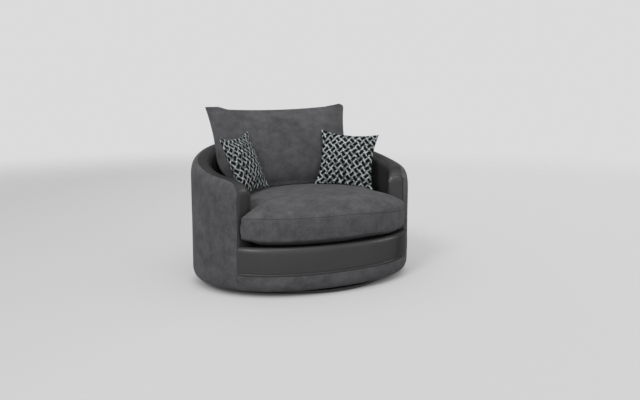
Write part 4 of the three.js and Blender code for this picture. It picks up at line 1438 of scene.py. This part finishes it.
@dataclass
class Pillow:
    """A filled cushion of two panels, sewn together round its edge."""

    name: str
    node: str
    body: str
    slot: str
    finish: Finish
    width: float
    height: float
    front: float
    rear: float
    waist: float
    dip: float
    tuck: float = 0.0
    ear: float = 0.0
    left_ear: float = 0.0
    ear_flat: float = 0.84
    ear_spread: float = 0.0
    right_bump: float = 0.0
    right_tip_round: float = 0.0
    columns: int = 60
    rows: int = 60
    turn: tuple[float, float, float] = (0.0, 0.0, 0.0)  # lean, roll and turn in degrees
    shift: tuple[float, float, float] = (0.0, 0.0, 0.0)  # how far it has slumped from its place
    filling: Filling = Filling()
    fill: float = 0.6
    start: float = 0.93  # share of its full swell that it starts with

    def edge(self, u: float, v: float) -> Vector:
        """Gives the place across and up of a point on the flat, from shares of minus one to one."""
        tuck = self.tuck * max(0.0, -v) ** 3
        half = self.width / 2 - self.waist * (1 - v * v) - tuck
        lower = v > 0 or self.tuck == 0
        flat_from = self.ear_flat if self.ear and u < 0 else 1.0
        dip = self.dip * v * (1 - min(abs(u), flat_from) ** 2) if lower else 0.0
        z = v * self.height / 2 - dip
        # Each top corner is drawn out and up into an ear; the right one is the rounder of the two.
        if self.ear and v > 0:
            drawn = self.ear if u > 0 else self.left_ear
            z += drawn * v**4 * ease((abs(u) - self.ear_flat + 0.16) / 0.16)
            z += self.right_bump * math.exp(-(((u - 0.93) / 0.05) ** 2)) * v**4
            half += self.ear_spread * v**3
        away = max(0.0, abs(u) + abs(v) - 1.86) / 0.14
        pulled = (self.right_tip_round if u > 0 and v > 0 else 0.0) * away * away
        return Vector((u * half - math.copysign(pulled, u), 0.0, z - math.copysign(pulled, v)))

    def swell_at(self, u: float, v: float) -> float:
        """Gives the share of the full swell at a point."""

        def full(share: float) -> float:
            """Swells full in the middle and thin at the edge."""
            return max(0.0, 1 - abs(share) ** 2.1) ** 0.58

        return full(u) * full(v)

    def panel(self, side: float) -> bmesh.types.BMesh:
        """Cuts and shapes one panel.

        Args:
            side: Minus the bulge of the front, or the bulge of the rear.

        Returns:
            The panel, with the flat of its cloth as UV.
        """

        def place(i: int, j: int) -> Vector:
            """Sets a point of the panel; points crowd towards the edge, where it is steep."""
            u = math.sin((i / self.columns - 0.5) * math.pi * 0.86) / math.sin(0.43 * math.pi)
            v = math.sin((j / self.rows - 0.5) * math.pi * 0.86) / math.sin(0.43 * math.pi)
            spot = self.edge(u, v)
            spot.y = side * self.start * self.swell_at(u, v)
            return spot

        bm = lattice(self.columns, self.rows, place)
        flat = bm.loops.layers.uv.new("flat_of_cloth")
        for cloth in bm.faces:
            for loop in cloth.loops:
                shift = 0.0 if side < 0 else 13.0
                loop[flat].uv = ((loop.vert.co.x + shift) * MM, loop.vert.co.z * MM)
        return bm

    def make(self) -> bpy.types.Object:
        """Sews the panels together, fills the cushion and lays it in its place.

        Returns:
            The piece.
        """
        bm = self.panel(-self.front)
        rear = self.panel(self.rear)
        spare = bpy.data.meshes.new("rear_panel")
        rear.to_mesh(spare)
        rear.free()
        bm.from_mesh(spare)
        bpy.data.meshes.remove(spare)
        bmesh.ops.remove_doubles(bm, verts=bm.verts, dist=0.05)
        bmesh.ops.recalc_face_normals(bm, faces=bm.faces[:])
        bmesh.ops.transform(bm, matrix=self.tilt(), verts=bm.verts)
        low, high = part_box(self.node)
        middle = (low + high) / 2 / MM + Vector(self.shift)
        ends = [[getattr(v.co, axis) for v in bm.verts] for axis in "xyz"]
        own = Vector([(min(e) + max(e)) / 2 for e in ends])
        bmesh.ops.translate(bm, vec=middle - own, verts=bm.verts)
        piece = finish_piece(bm, self.name, self.finish, self.slot, self.body, self.node)
        self.filling.swell(piece, self.seam_points(piece))
        return piece

    def tilt(self) -> Matrix:
        """Gives the turn from upright and facing ahead to how the cushion leans."""
        lean, roll, turn = (math.radians(angle) for angle in self.turn)
        leant = Matrix.Rotation(-lean, 4, "X") @ Matrix.Rotation(roll, 4, "Y")
        return Matrix.Rotation(turn, 4, "Z") @ leant

    def seam_points(self, piece: bpy.types.Object) -> list[int]:
        """Finds the points of the seam, where a front face meets a rear one."""
        inverse = self.tilt().to_3x3().transposed()
        flat = [inverse @ v.co for v in piece.data.vertices]
        plane = sum((p.y for p in flat), 0.0) / len(flat)
        bm = bmesh.new()
        bm.from_mesh(piece.data)
        bm.normal_update()
        found = []
        for vertex in bm.verts:
            ways = [(inverse @ f.normal).y for f in vertex.link_faces]
            if min(ways) < 0 < max(ways) and abs(flat[vertex.index].y - plane) < 0.05:
                found.append(vertex.index)
        bm.free()
        return found


# ---------------------------------------------------------------------------------------------
# What stays of the frame
# ---------------------------------------------------------------------------------------------


@dataclass(frozen=True)
class Carcase:
    """The timber, wire, turntable and base, which keep the shapes of the CAD model."""

    finishes: tuple[tuple[Finish, tuple[str, ...]], ...] = (
        (LacqueredBoard(), ("base_disc",)),
        (MouldedGlide(), ("base_glide",)),
        (ZincPlatedSteel(), ("turntable", "frame_bolt", "ball_cage", "seat_spring")),
        (BlackLiningCloth(), ("deck_cloth", "bottom_cloth")),
        (
            RawPlywood(),
            ("base_frame", "frame_rib", "front_post", "top_rail", "seat_ring", "front_board"),
        ),
    )

    def dress(self, nodes: dict[str, bpy.types.Object]) -> None:
        """Gives each remaining node the finish of what it is made of.

        Args:
            nodes: The CAD nodes by name.
        """
        for name, node in nodes.items():
            for finish, starts in self.finishes:
                if name.startswith(starts):
                    for slot in node.material_slots:
                        slot.material = finish.material()
                    log.info("%s: %s", name, finish.name)


# ---------------------------------------------------------------------------------------------
# The studio
# ---------------------------------------------------------------------------------------------


@dataclass(frozen=True)
class StudioFloor(Finish):
    """Matt pale vinyl floor that fades into the backdrop a long way off."""

    name: str = "studio_floor"
    colour: str = "#d3d3d3"
    shade: str = "#c2c2c2"
    matt: str = "#aaaaaa"  # the share of that colour which takes light and shadow
    matt_shade: str = "#9d9d9d"
    glow: float = 0.41  # the share of painted glow, which stays even round the chair, so that its shadow is light
    bounced: str = "#989898"  # what it throws back on the chair, as a greyer floor would
    near: float = 4.3
    far: float = 6.9
    chair_reach: tuple[float, float] = (0.600, 0.456)  # half the chair's width and depth
    shaded_to: float = 0.80  # as a share of the chair's reach, where the glow starts; within it the glow is left off, as a painted shadow under the chair
    open_from: float = 1.10  # and where it is full

    def paint(self, tree: bpy.types.NodeTree, shader: bpy.types.Node) -> None:
        """Fades the floor out with distance from the middle, paints shade on it towards the back
        left, and adds a painted glow that is left off under the chair as a painted shadow.
        """
        place = add_node(tree, "ShaderNodeTexCoord")
        away = add_node(
            tree, "ShaderNodeVectorMath", {0: place.outputs["Object"]}, operation="LENGTH"
        )
        fade = add_node(
            tree,
            "ShaderNodeMapRange",
            {"Value": away.outputs["Value"], "From Min": self.near, "From Max": self.far},
            interpolation_type="SMOOTHSTEP",
        )
        clear = add_node(
            tree, "ShaderNodeMath", {0: 1.0, 1: fade.outputs[0]}, operation="SUBTRACT"
        )
        # Painted shade: the floor gets darker towards the back left, as if the light fell off there.
        back_left = add_node(
            tree,
            "ShaderNodeVectorMath",
            {0: place.outputs["Object"], 1: (-0.7, 0.7, 0.0)},
            operation="DOT_PRODUCT",
        )
        painted_falloff = add_node(
            tree,
            "ShaderNodeMapRange",
            {"Value": back_left.outputs["Value"], "From Min": 0.2, "From Max": 3.0},
        )
        even, tone = (
            add_node(
                tree,
                "ShaderNodeMix",
                {0: painted_falloff.outputs[0], 6: linear(near), 7: linear(far)},
                data_type="RGBA",
            )
            for near, far in ((self.colour, self.shade), (self.matt, self.matt_shade))
        )
        seen = looked_at(tree)
        lit = add_node(
            tree,
            "ShaderNodeMix",
            {0: seen, 6: linear(self.bounced), 7: tone.outputs[2]},
            data_type="RGBA",
        )
        half_width, half_depth = self.chair_reach
        # Painted shadow: the glow is left off under the chair and fades in beyond it.
        oval = add_node(
            tree,
            "ShaderNodeVectorMath",
            {0: place.outputs["Object"], 1: (1 / half_width, 1 / half_depth, 0.0)},
            operation="MULTIPLY",
        )
        clear_of = add_node(tree, "ShaderNodeVectorMath", {0: oval.outputs[0]}, operation="LENGTH")
        glow_outside_painted_shadow = add_node(
            tree,
            "ShaderNodeMapRange",
            {
                "Value": clear_of.outputs["Value"],
                "From Min": self.shaded_to,
                "From Max": self.open_from,
                "To Max": self.glow,
            },
            interpolation_type="SMOOTHSTEP",
        )
        glow = add_node(
            tree,
            "ShaderNodeMath",
            {0: seen, 1: glow_outside_painted_shadow.outputs[0]},
            operation="MULTIPLY",
        )
        tree.links.new(lit.outputs[2], shader.inputs["Base Color"])
        tree.links.new(even.outputs[2], shader.inputs["Emission Color"])
        tree.links.new(glow.outputs[0], shader.inputs["Emission Strength"])
        shader.inputs["Roughness"].default_value = 0.9
        shader.inputs["Specular IOR Level"].default_value = 0.1
        tree.links.new(clear.outputs[0], shader.inputs["Alpha"])


@dataclass(frozen=True)
class Lamp:
    """One large soft lamp, far enough off to light the whole floor alike."""

    name: str
    comes_from: tuple[float, float, float]
    strength: float
    spread: float
    only_glints: bool = False  # a reflector card, which shows in glossy surfaces only

    def hang(self) -> None:
        """Hangs the lamp."""
        data = bpy.data.lights.new(self.name, "SUN")
        data.energy = self.strength
        data.angle = math.radians(self.spread)
        lamp = add_object(self.name, data)
        lamp.rotation_euler = Vector(self.comes_from).to_track_quat("Z", "Y").to_euler()
        lamp.location = self.comes_from
        lamp.visible_diffuse = not self.only_glints


@dataclass(frozen=True)
class Studio:
    """Plain floor, soft light and the camera where the photograph was taken."""

    camera_place: tuple[float, float, float] = (-2.2554, -4.0381, 1.1585)
    camera_round: float = -30.4
    camera_down: float = 9.21
    focal_pixels: float = 862.8
    sensor: float = 36.0
    backdrop: str = "#dbdbdb"
    ambient: float = 0.52
    floor_radius: float = 12.0
    lamps: tuple[Lamp, ...] = (
        Lamp("key_left", (-2.4, -1.4, 2.3), 0.96, 16.0),
        Lamp("fill_front", (-1.1, -2.1, 1.8), 0.78, 100.0),
        Lamp("top_front", (-0.3, -1.15, 2.1), 0.32, 20.0),
        Lamp("card_right", (2.4, -0.35, 1.3), 0.55, 20.0, only_glints=True),
    )

    def build(self) -> None:
        """Sets up floor, light and camera."""
        self.lay_floor()
        self.light()
        self.aim_camera()
        bpy.context.scene.view_settings.view_transform = "Standard"

    def lay_floor(self) -> None:
        """Lays a round floor just under the glides."""
        bm = bmesh.new()
        bmesh.ops.create_circle(bm, cap_ends=True, segments=96, radius=self.floor_radius)
        bmesh.ops.translate(bm, vec=(0, 0, -0.0005), verts=bm.verts)
        mesh = bpy.data.meshes.new("studio_floor")
        bm.to_mesh(mesh)
        bm.free()
        mesh.materials.append(StudioFloor().material())
        add_object("studio_floor", mesh)

    def light(self) -> None:
        """Hangs the lamps, and sets the room's light apart from the backdrop that is seen."""
        for lamp in self.lamps:
            lamp.hang()
        world = bpy.data.worlds.new("studio")
        bpy.context.scene.world = world
        world.use_nodes = True
        tree = world.node_tree
        tree.nodes.clear()
        seen = looked_at(tree)
        room = add_node(tree, "ShaderNodeBackground", {0: (1, 1, 1, 1), 1: self.ambient})
        back = add_node(tree, "ShaderNodeBackground", {0: linear(self.backdrop), 1: 1.0})
        both = add_node(
            tree, "ShaderNodeMixShader", {0: seen, 1: room.outputs[0], 2: back.outputs[0]}
        )
        add_node(tree, "ShaderNodeOutputWorld", {0: both.outputs[0]})

    def aim_camera(self) -> None:
        """Stands the camera at the photograph's place, with its field of view."""
        data = bpy.data.cameras.new("photo_camera")
        data.sensor_width = self.sensor
        data.lens = self.focal_pixels * self.sensor / PHOTO_WIDTH
        data.clip_end = 100.0
        camera = add_object("photo_camera", data)
        camera.location = self.camera_place
        camera.rotation_euler = (
            math.radians(90 - self.camera_down),
            0.0,
            math.radians(self.camera_round),
        )
        bpy.context.scene.camera = camera


def back_pillow() -> Pillow:
    """Describes the loose back cushion, fibre-filled, with pointed top corners."""
    return Pillow(
        name="back_cushion_soft",
        node="back_cushion",
        body="back",
        slot="fabric",
        finish=BrushedMicrofibre(),
        width=860.0,
        height=454.0,
        front=88.0,
        rear=105.0,
        waist=21.0,
        dip=20.0,
        tuck=180.0,
        ear=4.0,
        left_ear=13.0,
        ear_spread=9.0,
        right_bump=5.0,
        right_tip_round=11.0,
        columns=104,
        rows=60,
        turn=(15.0, 0.0, 0.0),
        filling=Filling(pressure=4.0, growth=0.03, frames=20, cap=11.0),
        fill=0.7,
    )


def scatter_pillow(side: Side) -> Pillow:
    """Describes one of the two square scatter cushions."""
    lean, roll, turn = (22.0, -2.5, 37.5) if side is Side.LEFT else (23.0, 5.2, -35.0)
    word = side.name.lower()
    return Pillow(
        name=f"scatter_cushion_{word}_soft",
        node=f"scatter_cushion_{word}",
        body=f"scatter_{word}",
        slot="pattern_fabric",
        finish=BasketWeave(),
        width=328.0,
        height=328.0,
        front=54.0,
        rear=54.0,
        waist=8.0 if side is Side.LEFT else 22.0,
        dip=22.0,
        columns=56,
        rows=56,
        turn=(lean, roll, turn),
        shift=(-7.0, -2.0, 8.0) if side is Side.LEFT else (0.0, 0.0, 0.0),
        filling=Filling(pressure=4.0, growth=0.03, frames=20, cap=8.0),
        fill=0.6,
    )


def main() -> None:
    """Builds the dressed chair and its studio."""
    logging.basicConfig(level=logging.INFO, format="%(name)s: %(message)s")
    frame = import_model()
    nodes = frame["nodes"]

    Studio().build()
    Carcase().dress(nodes)

    covers = TubCovers()
    covers.make_outside()
    inside = covers.make_inside()
    covers.make_bands()
    fronts = [ArmFront(covers, side).make() for side in Side]

    seat = SeatCushion().make(nodes["seat_cushion"])
    back = back_pillow().make()
    scatters = [scatter_pillow(side).make() for side in Side]
    lies_on = [(seat, (inside, *fronts)), (back, (inside, seat))]
    lies_on += [(scatter, (seat, back, inside)) for scatter in scatters]
    for soft, neighbours in lies_on:
        for neighbour in neighbours:
            keep_clear(soft, neighbour, CUSHION_GAP)
    for soft, _ in lies_on:
        subdivide_once(soft)


if __name__ == "__main__":
    main()
